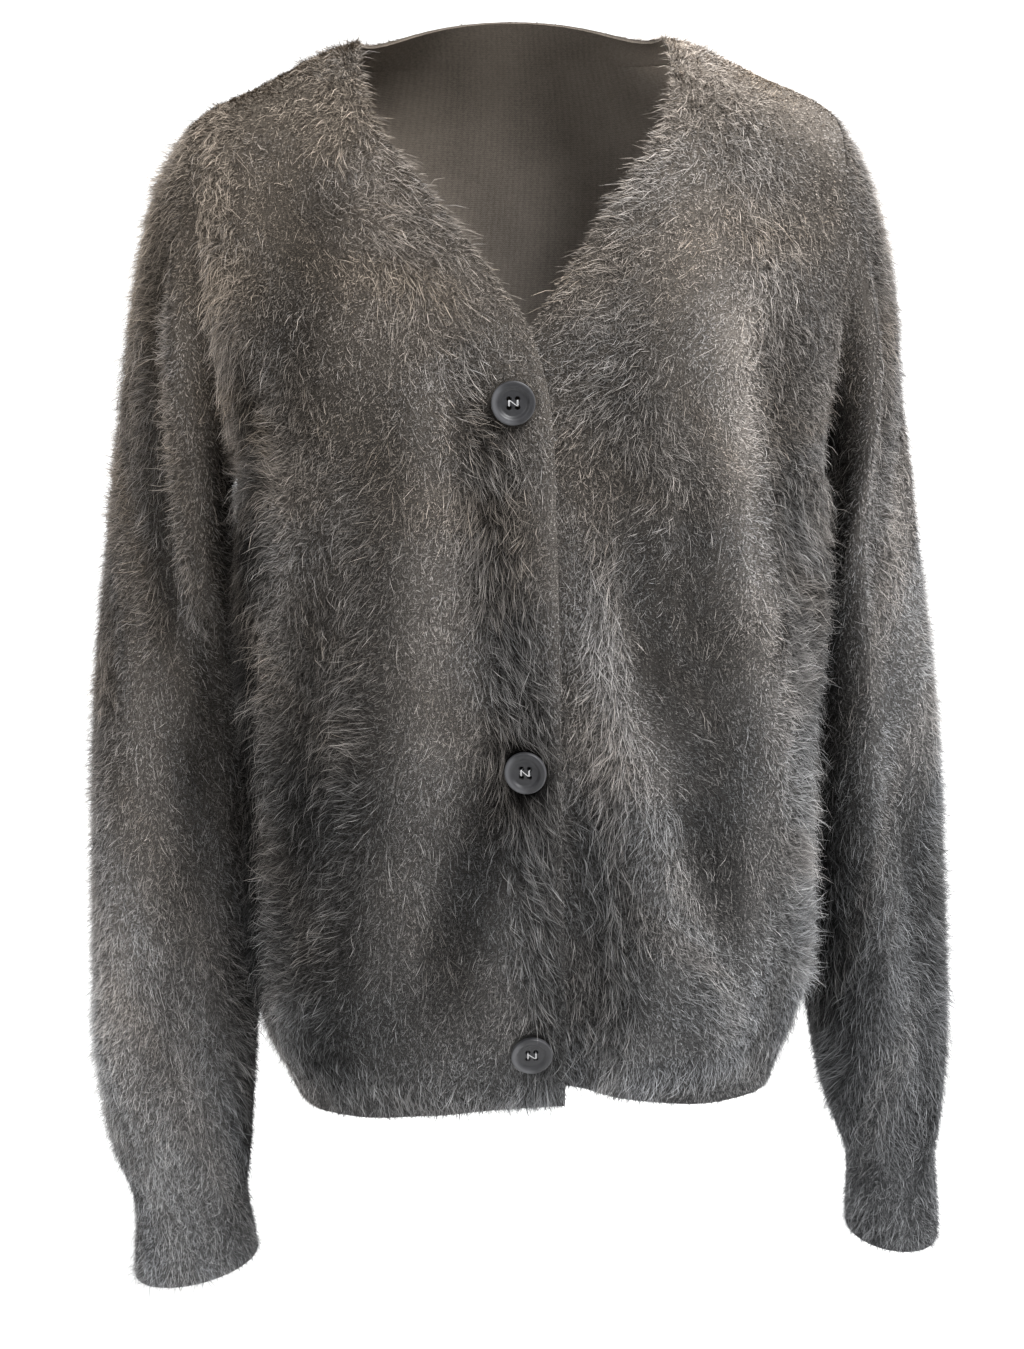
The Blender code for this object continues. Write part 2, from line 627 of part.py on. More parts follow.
def build_sleeve(side, name):
    turn = np.linspace(0, 2 * pi, SLEEVE_AROUND, endpoint=False)
    station = sleeve_table(side)[-1, 0] * np.linspace(0, 1, SLEEVE_RINGS + 1)
    around, along = np.meshgrid(turn, station)
    points = sleeve(side, around, along)
    outward = ring_normals(points) * side
    middle_z = (points.max(1, keepdims=True) + points.min(1, keepdims=True))[..., 2] / 2
    table = SLEEVE_FOLDS[side] * (SLEEVE_RADIUS, 1, SLEEVE_RADIUS, 1, 1, 1)
    height = folds(table, SLEEVE_RADIUS * around, mix(points[..., 2], middle_z, 0.5))
    height *= (smooth_step(station / 2) * (1 - smooth_step((station - 12) / 2)))[:, None]
    gathered = np.exp(-(((station - 13) / 1.6) ** 2))[:, None]
    height += CUFF_GATHER * gathered * np.sin(CUFF_GATHERS * around + side + 0.7 * np.sin(2 * around))
    points = points + outward * height[..., None]
    outward = ring_normals(points) * side
    outward[0] = armhole_normal(side, turn)
    outward[-1] = unit(outward[-1] * (1, 1, 0))
    points[0, :, 0] += side * GAP / 2
    for part, (first, last) in SLEEVE_PARTS.items():
        rings = points[first : last + 1].copy()
        if first > 0:
            rings[0] += unit(rings[1] - rings[0]) * GAP / 2
        if last < SLEEVE_RINGS:
            rings[-1] -= unit(rings[-1] - rings[-2]) * GAP / 2
        add_wall(f"sleeve_{name}_{part}", rings, rings - outward[first : last + 1] * WALL, closed=True)
    seam = points[-1]
    middle = (seam[0] + seam[SLEEVE_AROUND // 2]) / 2
    rows = []
    for drop, *halves, depth in CUFF:
        half = halves[0 if side < 0 else 1]
        tilt = (seam[:, 2] - middle[2]) * (1 - drop / CUFF[-1, 0])
        tilt = tilt + CUFF_TILT[side] * drop / CUFF[-1, 0] * (1 - np.cos(turn)) / 2
        ring = np.stack([side * half * np.cos(turn), -depth * np.sin(turn), tilt - drop], -1)
        rows.append(middle + ring - (0, 0, 2 * GAP))
    cuff = np.array(rows)
    round_it = unit(np.stack([side * np.cos(turn), -np.sin(turn), 0 * turn], -1))
    add_wall(f"cuff_{name}", cuff, cuff - round_it * WALL, closed=True)


def button_profile():
    """Outline of a button from its axis at the back to the dished face: radius and height."""
    radius, high = BUTTON_DIAMETER / 2, BUTTON_HEIGHT
    return [
        (0.0, 0.0),
        (radius - 0.0022, 0.0),
        (radius, 0.0012),
        (radius, high - 0.0009),
        (radius - 0.0009, high),
        (radius - 0.0026, high - 0.0001),
        (radius - 0.0046, high - 0.0012),
        (0.0, high - 0.0014),
    ]


def build_button(name, place, normal):
    """A four-hole button: a turned profile, with its holes cut by small cylinders."""
    mesh = bpy.data.meshes.new(name)
    form = bmesh.new()
    verts = [form.verts.new((r, 0, h)) for r, h in reversed(button_profile())]
    for a, b in zip(verts, verts[1:]):
        form.edges.new((a, b))
    form.to_mesh(mesh)
    form.free()
    made = add_object(name, mesh, plastic)
    screw = made.modifiers.new("turn", "SCREW")
    screw.steps = screw.render_steps = 24
    screw.use_merge_vertices = True
    screw.merge_threshold = 0.00001
    toward = Vector(normal)
    across = Vector((1, 0, 0))
    up = toward.cross(across).normalized()
    across = up.cross(toward)
    made.matrix_world = Matrix.Translation(place) @ Matrix((across, up, toward)).transposed().to_4x4()
    tool_mesh = bpy.data.meshes.new(f"{name}_holes")
    tool = bmesh.new()
    for x in (-1, 1):
        for y in (-1, 1):
            at = Matrix.Translation((x * BUTTON_HOLE_STEP / 2, y * BUTTON_HOLE_STEP / 2, BUTTON_HEIGHT / 2))
            bmesh.ops.create_cone(
                tool,
                cap_ends=True,
                segments=8,
                radius1=BUTTON_HOLE / 2,
                radius2=BUTTON_HOLE / 2,
                depth=3 * BUTTON_HEIGHT,
                matrix=at,
            )
    tool.to_mesh(tool_mesh)
    tool.free()
    cutter = bpy.data.objects.new(f"{name}_holes", tool_mesh)
    cutters.objects.link(cutter)
    cutter.parent = made
    cutter.hide_render = True
    cutter.display_type = "WIRE"
    holes = made.modifiers.new("holes", "BOOLEAN")
    holes.operation = "DIFFERENCE"
    holes.object = cutter
    return made


def finer(grid, times):
    """The same grid with more points, on straight lines between its own."""
    for axis in (0, 1):
        at = np.linspace(0, grid.shape[axis] - 1, (grid.shape[axis] - 1) * times + 1)
        low = np.clip(at.astype(int), 0, grid.shape[axis] - 2)
        share = (at - low).reshape((-1, 1, 1) if axis == 0 else (1, -1, 1))
        grid = mix(np.take(grid, low, axis), np.take(grid, low + 1, axis), share)
    return grid


def build_buttons(points, outward):
    """Three buttons on the middle of the right band, each flat against the highest point under it."""
    face = finer(points[:, : BAND_COLUMNS + 1] - outward[:, : BAND_COLUMNS + 1] * BAND_DROP, 8)
    middle = BAND_COLUMNS / 2
    left, right = int(middle), int(np.ceil(middle))
    line = mix(points[:, left], points[:, right], 0.5)
    facing = unit(outward[:, left] + outward[:, right])
    for number, z in enumerate(BUTTON_HEIGHTS, 1):
        place = np.array([np.interp(z, line[:, 2], line[:, axis]) for axis in range(3)])
        normal = unit(np.array([np.interp(z, line[:, 2], facing[:, axis]) for axis in range(3)]))
        under = face[np.linalg.norm(face - place, axis=2) < BUTTON_DIAMETER / 2 + BAND_DROP]
        seat = place + normal * (((under - place) @ normal).max() + GAP + BUTTON_ROOM)
        build_button(f"button_{number}", Vector(seat), normal)


for item in list(bpy.data.objects):
    bpy.data.objects.remove(item, do_unlink=True)
cardigan = bpy.data.collections.new("button_cardigan")
cutters = bpy.data.collections.new("cutters")
bpy.context.scene.collection.children.link(cardigan)
bpy.context.scene.collection.children.link(cutters)
pile = new_material("pile_knit", (0.155, 0.145, 0.138), 0.9)
plastic = new_material("slate_plastic", (0.045, 0.046, 0.052), 0.42)

TOP_SHARE = front_shares(1, np.array([1.0]))[0, BAND_COLUMNS]
NECK_SEAM_X = mix(NECK_EDGE[-1, 1], SHOULDER_END, TOP_SHARE)

right_front = build_front(-1, "right")
build_front(1, "left")
build_back()
build_sleeve(-1, "right")
build_sleeve(1, "left")
build_buttons(*right_front[:2])
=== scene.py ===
"""The looks of a long-pile knitted cardigan that hangs hollow, in the shape it has when worn.

Every knitted piece is a thin wall of stocking stitch on its solid's form, with its pile as flat tapering
strands combed over it. Metres, +Z up, the front towards -Y, the wearer's left at +X.
"""

from functools import partialmethod
from math import cos, pi, radians, sin

import bpy
import numpy as np
from mathutils import Matrix, Vector


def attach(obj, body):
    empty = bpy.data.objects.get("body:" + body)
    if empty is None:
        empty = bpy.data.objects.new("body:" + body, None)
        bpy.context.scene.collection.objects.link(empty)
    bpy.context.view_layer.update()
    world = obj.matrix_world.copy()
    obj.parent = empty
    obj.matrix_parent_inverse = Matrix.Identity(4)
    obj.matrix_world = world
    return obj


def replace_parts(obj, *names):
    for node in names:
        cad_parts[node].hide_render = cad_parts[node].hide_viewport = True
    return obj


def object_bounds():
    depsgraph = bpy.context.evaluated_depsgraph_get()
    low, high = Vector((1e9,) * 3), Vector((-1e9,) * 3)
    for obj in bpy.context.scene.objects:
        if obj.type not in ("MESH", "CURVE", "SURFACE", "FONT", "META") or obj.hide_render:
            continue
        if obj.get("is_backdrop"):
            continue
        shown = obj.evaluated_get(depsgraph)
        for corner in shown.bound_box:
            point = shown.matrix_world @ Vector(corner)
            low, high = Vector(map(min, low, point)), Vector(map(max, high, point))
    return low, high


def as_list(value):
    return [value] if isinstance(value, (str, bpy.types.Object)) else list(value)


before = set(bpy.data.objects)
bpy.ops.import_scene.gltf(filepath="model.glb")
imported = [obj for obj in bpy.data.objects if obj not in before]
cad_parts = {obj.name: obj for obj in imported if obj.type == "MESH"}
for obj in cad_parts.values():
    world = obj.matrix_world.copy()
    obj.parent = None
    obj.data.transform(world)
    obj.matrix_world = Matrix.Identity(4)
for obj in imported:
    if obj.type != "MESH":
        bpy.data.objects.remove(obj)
cad_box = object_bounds()

# ---- Back ----------------------------------------------------------------------------------------------
# One knitted panel from armhole to armhole with a shallow neck, and the hem band that pulls it in below.
# A fine stocking stitch in a soft yarn, whose long brushed pile hides the seams.

PILE_DEPTH = 0.0030  # from the solid's face to the knit
KNIT = 0.0018  # thickness of the knitted ground
BODY_LENGTH = 0.350  # from the underarm to the hem, at the middle of the front
UNDERARM_Z = -0.250
SIDE_SAG = 0.022  # the sides and the back hang lower than the front
SIDE_DENT = 0.009  # how far each sleeve presses the side in
HEM_SHARE = 0.845  # where the hem band starts, as a share of BODY_LENGTH
SECTION_POWER = 2.3  # 2 is an ellipse, more is squarer
SHOULDER_Y, SHOULDER_END = 0.005, 0.184
NECK_SHARE = 0.56  # of the back's half width, at the corner between neck and shoulder
NECK_SEAM_X = 0.12263  # where that corner is
HEM_GATHERS, HEM_GATHER = 9, 0.0016  # soft waves above the hem on each half, and their height
HEM_ROWS, BODY_ROWS, YOKE_ROWS = 6, 36, 28  # of every panel's grid
BACK_NECK_COLUMNS, BACK_SHOULDER_COLUMNS = 11, 12


def table(lengths, *rows):
    """Rows of numbers in metres. The columns in lengths are written in millimetres."""
    made = np.array(rows, float)
    made[:, lengths] = np.round(made[:, lengths] / 1000, 7)
    return made


# Body sections below the underarm: share of the length, half widths, depths to the front and the back
SECTIONS = table(
    np.s_[1:],
    # drop, right, left, front, back
    (0.00, 167, 177, 142, 120),
    (0.12, 170, 179, 143, 120),
    (0.35, 174, 176, 142, 121),
    (0.55, 176, 172, 140, 123),
    (0.72, 178, 173, 139, 125),
    (0.83, 176, 171, 136, 123),
    (0.90, 163, 159, 129, 116),
    (1.00, 148, 146, 119, 107),
)

# Middle of the back from the underarm to the neck seam
BACK_MIDDLE = table(
    np.s_[1:],
    # rise, y, z
    (0.00, 120, -250),
    (0.30, 122, -180),
    (0.55, 117, -115),
    (0.78, 104, -58),
    (0.90, 91, -30),
    (1.00, 78, -10),
)

# Top line of the shoulder
SHOULDER = table(
    np.s_[:],
    # x, z
    (87, -2),
    (105, -7),
    (125, -16),
    (145, -26),
    (165, -35),
    (176, -41),
    (184, -47),
)

# Armholes: outer x and z, inner x and z, y and half depth, for each side
ARMHOLE = {
    -1: (0.184, -0.047, 0.167, -0.250, 0.005, 0.066),
    1: (0.184, -0.047, 0.177, -0.250, 0.005, 0.066),
}
ARMHOLE_PINCH = 0.3  # how much narrower it is at the underarm
ARMHOLE_FLARE = 0.45  # how far the seam's directions lean out at the shoulder

# Soft folds, raised or sunk along a line: both ends as x and z, half width and height
BACK_FOLDS = table(
    np.s_[:],
    # x, z, x, z, width, height
    (-120, -200, -104, -380, 20, 6.5),
    (-80, -360, -60, -540, 18, -7.8),
    (-30, -300, -12, -520, 22, 6.5),
    (50, -240, 30, -420, 20, -5.9),
    (78, -340, 70, -540, 18, 7.8),
    (128, -160, 112, -360, 20, -6.5),
    (0, -80, 6, -200, 30, -4.6),
    (-50, -440, -44, -548, 9, 3),
    (20, -460, 26, -550, 8, -2.8),
    (104, -430, 96, -550, 9, -3),
    (-136, -420, -118, -545, 9, -3.2),
)


def smooth_step(value):
    """3v^2 - 2v^3 between 0 and 1."""
    value = np.clip(value, 0, 1)
    return value * value * (3 - 2 * value)


def mix(a, b, share):
    """From a to b by a share of the way."""
    return a + (b - a) * share


def unit(vectors):
    """The same directions with length 1."""
    return vectors / np.linalg.norm(vectors, axis=-1, keepdims=True)


def column(table, number, at):
    """A smooth curve through a table's column: cubic pieces with the slopes of its neighbours."""
    knots, values = table[:, 0], table[:, number]
    slopes = np.gradient(values, knots)
    at = np.clip(at, knots[0], knots[-1])
    left = np.clip(np.searchsorted(knots, at, "right") - 1, 0, len(knots) - 2)
    width = knots[left + 1] - knots[left]
    t = (at - knots[left]) / width
    return (
        values[left] * (1 + 2 * t) * (1 - t) ** 2
        + slopes[left] * width * t * (1 - t) ** 2
        + values[left + 1] * t * t * (3 - 2 * t)
        - slopes[left + 1] * width * t * t * (1 - t)
    )


def normals(grid):
    """Unit normals of a grid with rows first: the cross product of its steps across and along."""
    return unit(np.cross(np.gradient(grid, axis=1), np.gradient(grid, axis=0)))


def folds(table, x, z):
    """Height of the soft folds at x and z: a bell across each line, drawn out past its ends."""
    total = np.zeros_like(x)
    for x1, z1, x2, z2, width, height in table:
        length = np.hypot(x2 - x1, z2 - z1)
        along = ((x - x1) * (x2 - x1) + (z - z1) * (z2 - z1)) / length
        aside = ((x - x1) * (z2 - z1) - (z - z1) * (x2 - x1)) / length
        past = np.maximum(np.maximum(-along, along - length), 0) / 2
        total += height * np.exp(-(aside**2 + past**2) / width**2)
    return total


def torso(angle, drop):
    """The body below the underarm: a superellipse whose half widths and depths follow SECTIONS.

    angle is 0 at the middle of the front and positive to the wearer's left; drop is the share of the
    length. Each side is pressed in by its sleeve behind its widest line, and sags a little lower.
    """
    half = np.where(angle < 0, column(SECTIONS, 1, drop), column(SECTIONS, 2, drop))
    ahead = np.cos(angle) > 0
    depth = np.where(ahead, column(SECTIONS, 3, drop), column(SECTIONS, 4, drop))
    wide = np.abs(np.sin(angle) / half) ** SECTION_POWER
    deep = np.abs(np.cos(angle) / depth) ** SECTION_POWER
    radius = (wide + deep) ** (-1 / SECTION_POWER)
    pressed = smooth_step(drop / 0.10) * (1 - smooth_step((drop - 0.82) / 0.16))
    radius = radius - SIDE_DENT * pressed * np.exp(-(((np.abs(angle) - 1.85) / 0.32) ** 2))
    sag = SIDE_SAG * np.where(ahead, np.sin(angle) ** 2, 1)
    z = UNDERARM_Z - (BODY_LENGTH + sag) * drop
    return np.stack([radius * np.sin(angle), -radius * np.cos(angle), z], -1)


def armhole(side, turn, ends=None, pinch=1):
    """A tilted ellipse, narrower at the bottom: turn 0 at the shoulder, pi/2 in front, pi at the underarm.

    A sleeve's rings have ends like ARMHOLE's and the share pinch of its narrowing.
    """
    outer_x, outer_z, inner_x, inner_z, y, depth = ends or ARMHOLE[side]
    swing = (1 + np.cos(turn)) / 2
    ahead = y - depth * np.sin(turn) * (1 + ARMHOLE_PINCH * np.cos(turn) * pinch)
    return np.stack([side * mix(inner_x, outer_x, swing), ahead, mix(inner_z, outer_z, swing)], -1)


def armhole_normal(side, turn):
    """Outward where panels and sleeve are sewn together: round the ellipse, and out of it at the top."""
    outer_x, outer_z, inner_x, inner_z, _, depth = ARMHOLE[side]
    up = unit(np.array([side * (outer_x - inner_x), 0, outer_z - inner_z]))
    ahead = np.array([0, -1.0, 0])
    outward = side * np.cross(up, ahead)
    high = np.hypot(outer_x - inner_x, outer_z - inner_z) / 2
    cosine, sine = np.cos(turn)[..., None], np.sin(turn)[..., None]
    return unit(unit(cosine / high * up + sine / depth * ahead) + ARMHOLE_FLARE * (1 + cosine) * outward)


def shoulder_normal(side, x):
    """Straight out of the top line of the shoulder, at a distance x from the middle."""
    step = 0.001
    slope = (column(SHOULDER, 1, x + step) - column(SHOULDER, 1, x - step)) / (2 * step)
    return unit(np.stack([-side * slope, np.zeros_like(x), np.ones_like(x)], -1))


def yoke_row(side, share, rise, inner, edge_angle, far_angle):
    """A panel above the underarm, from its inner line to the armhole.

    A row starts as the body's section at the underarm and grows straighter towards the shoulder.
    """
    base = torso(side * mix(edge_angle, far_angle, share), np.zeros_like(share))
    first = torso(side * edge_angle * np.ones_like(share), np.zeros_like(share))
    last = torso(side * far_angle * np.ones_like(share), np.zeros_like(share))
    across = (base[..., 0] - first[..., 0]) / (last[..., 0] - first[..., 0])
    deep = (base[..., 1] - last[..., 1]) / (first[..., 1] - last[..., 1])
    change = smooth_step(rise * 1.25)
    across = mix(across, share, change)
    deep = mix(deep, 1 - share**1.8, change)
    pull = mix(share**8, 1 - deep, smooth_step(rise / 0.45))
    arm = armhole(side, pi * (1 - rise) * (1 if far_angle > edge_angle else -1))
    x = mix(inner[..., 0], arm[..., 0], across)
    y = inner[..., 1] * deep + arm[..., 1] * pull
    z = mix(inner[..., 2], arm[..., 2], mix(share, smooth_step(share), 0.5))
    return np.stack([x, y, z], -1)


def neck_seam(turn):
    """A quarter ellipse from the middle of the back, turn 0, to the shoulder, turn pi/2."""
    x = NECK_SEAM_X * np.sin(turn)
    y = SHOULDER_Y + (BACK_MIDDLE[-1, 1] - SHOULDER_Y) * np.cos(turn)
    z = mix(column(SHOULDER, 1, np.array(NECK_SEAM_X)), BACK_MIDDLE[-1, 2], np.cos(turn) ** 2)
    return np.stack([x, y, z], -1)


def back(side, share, rise):
    """Half of the back, share 0 at the middle and 1 at the side: the body below rise 0, the yoke above.

    The yoke is bent onto its upper line, the neck seam and then the shoulder, from rise 0.3 upwards.
    """
    low = torso(side * mix(pi, pi / 2, share), np.clip(-rise, 0, None))
    up = np.clip(rise, 0, 1)
    yoke = []
    for at in (up, np.ones_like(up)):
        inner = np.stack([0 * at, column(BACK_MIDDLE, 1, at), column(BACK_MIDDLE, 2, at)], -1)
        yoke.append(yoke_row(side, share, at, inner, pi, pi / 2))
    high, last = yoke
    neck = neck_seam(np.clip(share / NECK_SHARE, 0, 1) * pi / 2)
    x = mix(NECK_SEAM_X, SHOULDER_END, np.clip((share - NECK_SHARE) / (1 - NECK_SHARE), 0, 1))
    shoulder = np.stack([x, np.full_like(x, SHOULDER_Y), column(SHOULDER, 1, x)], -1)
    top = np.where((share < NECK_SHARE)[..., None], neck, shoulder)
    top[..., 0] *= side
    high = high + (top - last) * smooth_step((up - 0.30) / 0.70)[..., None] ** 1.8
    return np.where((rise < 0)[..., None], low, high)


def face_seams(outward, points, rise, side, columns, last, turn):
    """Turns a panel's directions at its seams: out of the shoulder along columns, and at the column last
    out of the armhole, whose turn has the sign turn, and out of the side below it.
    """
    outward[-1, columns] = shoulder_normal(side, np.abs(points[-1, columns, 0]))
    yoke = rise >= 0
    outward[yoke, last] = armhole_normal(side, turn * pi * (1 - rise[yoke]))
    outward[~yoke, last] = (side, 0, 0)


def row_heights():
    """rise of each row, from -1 at the hem through 0 at the underarm to 1 at the shoulder."""
    hem = np.linspace(-1, -HEM_SHARE, HEM_ROWS + 1)
    body = np.linspace(-HEM_SHARE, 0, BODY_ROWS + 1)
    yoke = np.linspace(0, 1, YOKE_ROWS + 1)
    return np.concatenate([hem, body[1:], yoke[1:]])


EASE_ROWS, EASE_PASSES = 4, 8


def eased(points, seam):
    """A grid whose rows near the seam are drawn towards the mean of their neighbours, again and again."""
    near = np.exp(-(((np.arange(len(points)) - seam) / EASE_ROWS) ** 2))[1:-1, None, None]
    points = points.copy()
    for _ in range(EASE_PASSES):
        points[1:-1] += (points[:-2] - 2 * points[1:-1] + points[2:]) / 4 * near
    return points


def fold_panel(points, outward, table, share, rise):
    """Raises a panel's folds and the gathers above its hem; both fade out at its seams."""
    inside = 1 - smooth_step((share - 0.84) / 0.16)
    upright = smooth_step((rise + 1.02) / 0.25) * (1 - smooth_step((rise - 0.6) / 0.4))
    height = folds(table, points[..., 0], points[..., 2]) * inside * upright[:, None]
    gathered = np.exp(-(((rise + HEM_SHARE) / 0.13) ** 2))[:, None]
    wave = np.sin(pi * HEM_GATHERS * share**1.15) * smooth_step(share / 0.25) * inside
    height += HEM_GATHER * gathered * wave
    return eased(points + outward * height[..., None], HEM_ROWS), height


class Shade:
    """A socket in a material. Arithmetic on it adds Math nodes, and node() adds any other."""

    def __init__(self, tree, socket=None):
        self.tree, self.socket = tree, socket

    def node(self, kind, settings=None, sockets=None, output=0):
        made = self.tree.nodes.new(kind)
        for name, value in (settings or {}).items():
            setattr(made, name, value)
        for name, value in (sockets or {}).items():
            if isinstance(value, Shade):
                self.tree.links.new(value.socket, made.inputs[name])
            else:
                made.inputs[name].default_value = value
        return Shade(self.tree, made.outputs[output])

    def maths(self, operation, *others):
        return self.node("ShaderNodeMath", {"operation": operation}, dict(enumerate((self, *others))))

    __add__ = __radd__ = partialmethod(maths, "ADD")
    __sub__ = partialmethod(maths, "SUBTRACT")
    __mul__ = __rmul__ = partialmethod(maths, "MULTIPLY")
    __truediv__ = partialmethod(maths, "DIVIDE")

    def __rsub__(self, other):
        return self * -1.0 + other

    def axis(self, number):
        """One number of a vector's three."""
        return self.node("ShaderNodeSeparateXYZ", None, {0: self}, number)

    def vector(self, operation, sockets):
        return self.node("ShaderNodeVectorMath", {"operation": operation}, {0: self, **sockets})

    def here(self):
        """Object coordinates."""
        return self.node("ShaderNodeTexCoord", None, None, 3)

    def stored(self, name):
        """The number that an attribute holds for each point."""
        return self.node("ShaderNodeAttribute", {"attribute_name": name}, None, 2)

    def noise(self, scale, detail=2.0):
        return self.node("ShaderNodeTexNoise", None, {"Vector": self, "Scale": scale, "Detail": detail})

    def bump(self, strength, distance):
        high = {"Strength": strength, "Distance": distance, "Height": self}
        return self.node("ShaderNodeBump", None, high)

    def colours(self, low, high):
        """From one colour to the other, this socket being the share of the second."""
        return self.node("ShaderNodeMix", {"data_type": "RGBA"}, {0: self, 6: (*low, 1), 7: (*high, 1)}, 2)

    def steps(self, colours):
        """One plain colour after the other, in equal steps of this socket from 0 to 1."""
        made = self.node("ShaderNodeValToRGB", None, {0: self})
        band = made.socket.node.color_ramp
        band.interpolation = "CONSTANT"
        while len(band.elements) < len(colours):
            band.elements.new(1)
        for number, (element, colour) in enumerate(zip(band.elements, colours)):
            element.position, element.color = number / len(colours), (*colour, 1)
        return made


def new_material(name, **values):
    """A Shade to build a material on, whose Principled shader has these values, and what finishes it."""
    material = bpy.data.materials.new(name)
    material.use_nodes = True
    tree = material.node_tree
    inputs = tree.nodes["Principled BSDF"].inputs
    for socket, value in values.items():
        inputs[socket.replace("_", " ")].default_value = value

    def finish(**shades):
        for socket, shade in shades.items():
            tree.links.new(shade.socket, inputs[socket.replace("_", " ")])
        return material

    return Shade(tree), finish


STITCH_WIDTH, STITCH_HEIGHT = 0.0015, 0.0012
# The knit's colours are darkened as painted shade from the pile over it; INSIDE takes that off again where no
# pile is
KNIT_DARK, KNIT_LIGHT = (0.003, 0.003, 0.003), (0.165, 0.165, 0.165)
INSIDE = 0.9  # how much paler the knit is inside, where no pile shades it, as a natural logarithm
# Tints, from warm to cool; COOLER makes them cooler to the wearer's left and lower down
TINTS = (
    (1.18, 1.00, 0.82),
    (1.13, 1.00, 0.88),
    (1.08, 1.00, 0.93),
    (1.04, 1.00, 0.97),
    (1.00, 1.00, 1.00),
    (0.98, 1.00, 1.03),
)
COOLER = (3.5, 0, -6.3)  # steps of tint, a metre


def knit_material():
    """Columns of V stitches in an uneven yarn: each leg is a ridge, and its strands slant up and out."""
    base, finish = new_material("knit_ground", Roughness=1.0, Specular_IOR_Level=0.02)
    where, place = base.here(), base.node("ShaderNodeUVMap", {"uv_map": "knit"})
    across, along = place.axis(0), place.axis(1)
    leg = ((across / STITCH_WIDTH).maths("FRACT") - 0.5).maths("ABSOLUTE") * 2
    ridge = (leg * pi).maths("SINE")
    slant = ((along / STITCH_HEIGHT - leg * 0.8) * (2 * pi)).maths("SINE") * 0.5 + 0.5
    patches, fuzz = where.noise(26.0, 3.0), where.noise(900.0)
    # Painted shade between the legs and between the slants of the stitches; fuzz and patches are the yarn's
    # uneven tone
    stitch = ridge * (slant * 0.5 + 0.5)
    tone = stitch * 0.8 + fuzz * 0.5 + patches * 0.4 - 0.25
    # The lay's painted light and shade, which each point of the wall keeps
    painted_light = base.stored("pale").maths("EXPONENT")
    cool = (where.axis(0) * COOLER[0] + where.axis(2) * COOLER[2] + 0.3) / (len(TINTS) - 1)
    yarn = tone.colours(KNIT_DARK, KNIT_LIGHT).vector("SCALE", {3: painted_light})
    yarn = yarn.vector("MULTIPLY", {1: cool.colours(TINTS[0], TINTS[-1])})
    return finish(Base_Color=yarn, Normal=(stitch * 0.7 + fuzz * 0.5).bump(0.8, 0.0008))


# The root's dark colour is painted shade, deep in the pile under the other strands
PILE_ROOT_SHADED, PILE_TIP = (0.018, 0.018, 0.018), (0.500, 0.500, 0.500)
SHADE_RANGE = 2.5  # the palest strand's share of the pile's colour


def pile_material():
    """Strands that pale from root to tip, their dark roots being painted shade deep in the pile. The map's v
    runs along a strand, and u holds its tint and shade.
    """
    base, finish = new_material("pile", Roughness=0.85, Specular_IOR_Level=0.05)
    place = base.node("ShaderNodeUVMap", {"uv_map": "OFBake"})
    u, v = place.axis(0), place.axis(1)
    strand = v.colours(PILE_ROOT_SHADED, PILE_TIP).vector("MULTIPLY", {1: u.steps(TINTS)})
    shade = (u * len(TINTS)).maths("FRACT") * SHADE_RANGE
    return finish(Base_Color=strand.vector("SCALE", {3: shade}))


knit_ground, pile = knit_material(), pile_material()


def in_scene(name, data):
    made = bpy.data.objects.new(name, data)
    bpy.context.scene.collection.objects.link(made)
    return made


def keep_number(mesh, name, values):
    """An attribute with one number for each point, which a material reads with stored()."""
    mesh.attributes.new(name, "FLOAT", "POINT").data.foreach_set("value", values.astype(np.float32))


def add_object(name, mesh, material):
    """The mesh as an object with that material, which rides on the one body there is."""
    mesh.materials.append(material)
    made = in_scene(name, mesh)
    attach(made, "root")
    return made


def arc_lengths(points, axis, start=0):
    """Distance along each row or column of a grid, 0 at the row or column called start."""
    steps = np.linalg.norm(np.diff(points, axis=axis), axis=2)
    length = np.concatenate([np.zeros_like(np.take(steps, [0], axis)), steps.cumsum(axis)], axis)
    return length - np.take(length, [start], axis)


def closed_grid(*grids):
    """The grids with their first column repeated at the end."""
    return [np.concatenate([grid, grid[:, :1]], axis=1) for grid in grids]


SEAM = 0.00004  # between the edges of two knits that are sewn together


def cell_areas(points):
    """A grid's areas from point to point: the cross product of the steps across and up."""
    over, up = points[:-1, 1:] - points[:-1, :-1], points[1:, :-1] - points[:-1, :-1]
    return np.linalg.norm(np.cross(over, up), axis=2)


def wale_map(face, start, wales):
    """Metres across the knit from the column called start, or on a tube with so many wales counted round."""
    columns = face.shape[1]
    if wales:
        return STITCH_WIDTH * wales * np.linspace(0, 1, columns) * np.ones(face.shape[:2])
    return arc_lengths(face, 1, start)


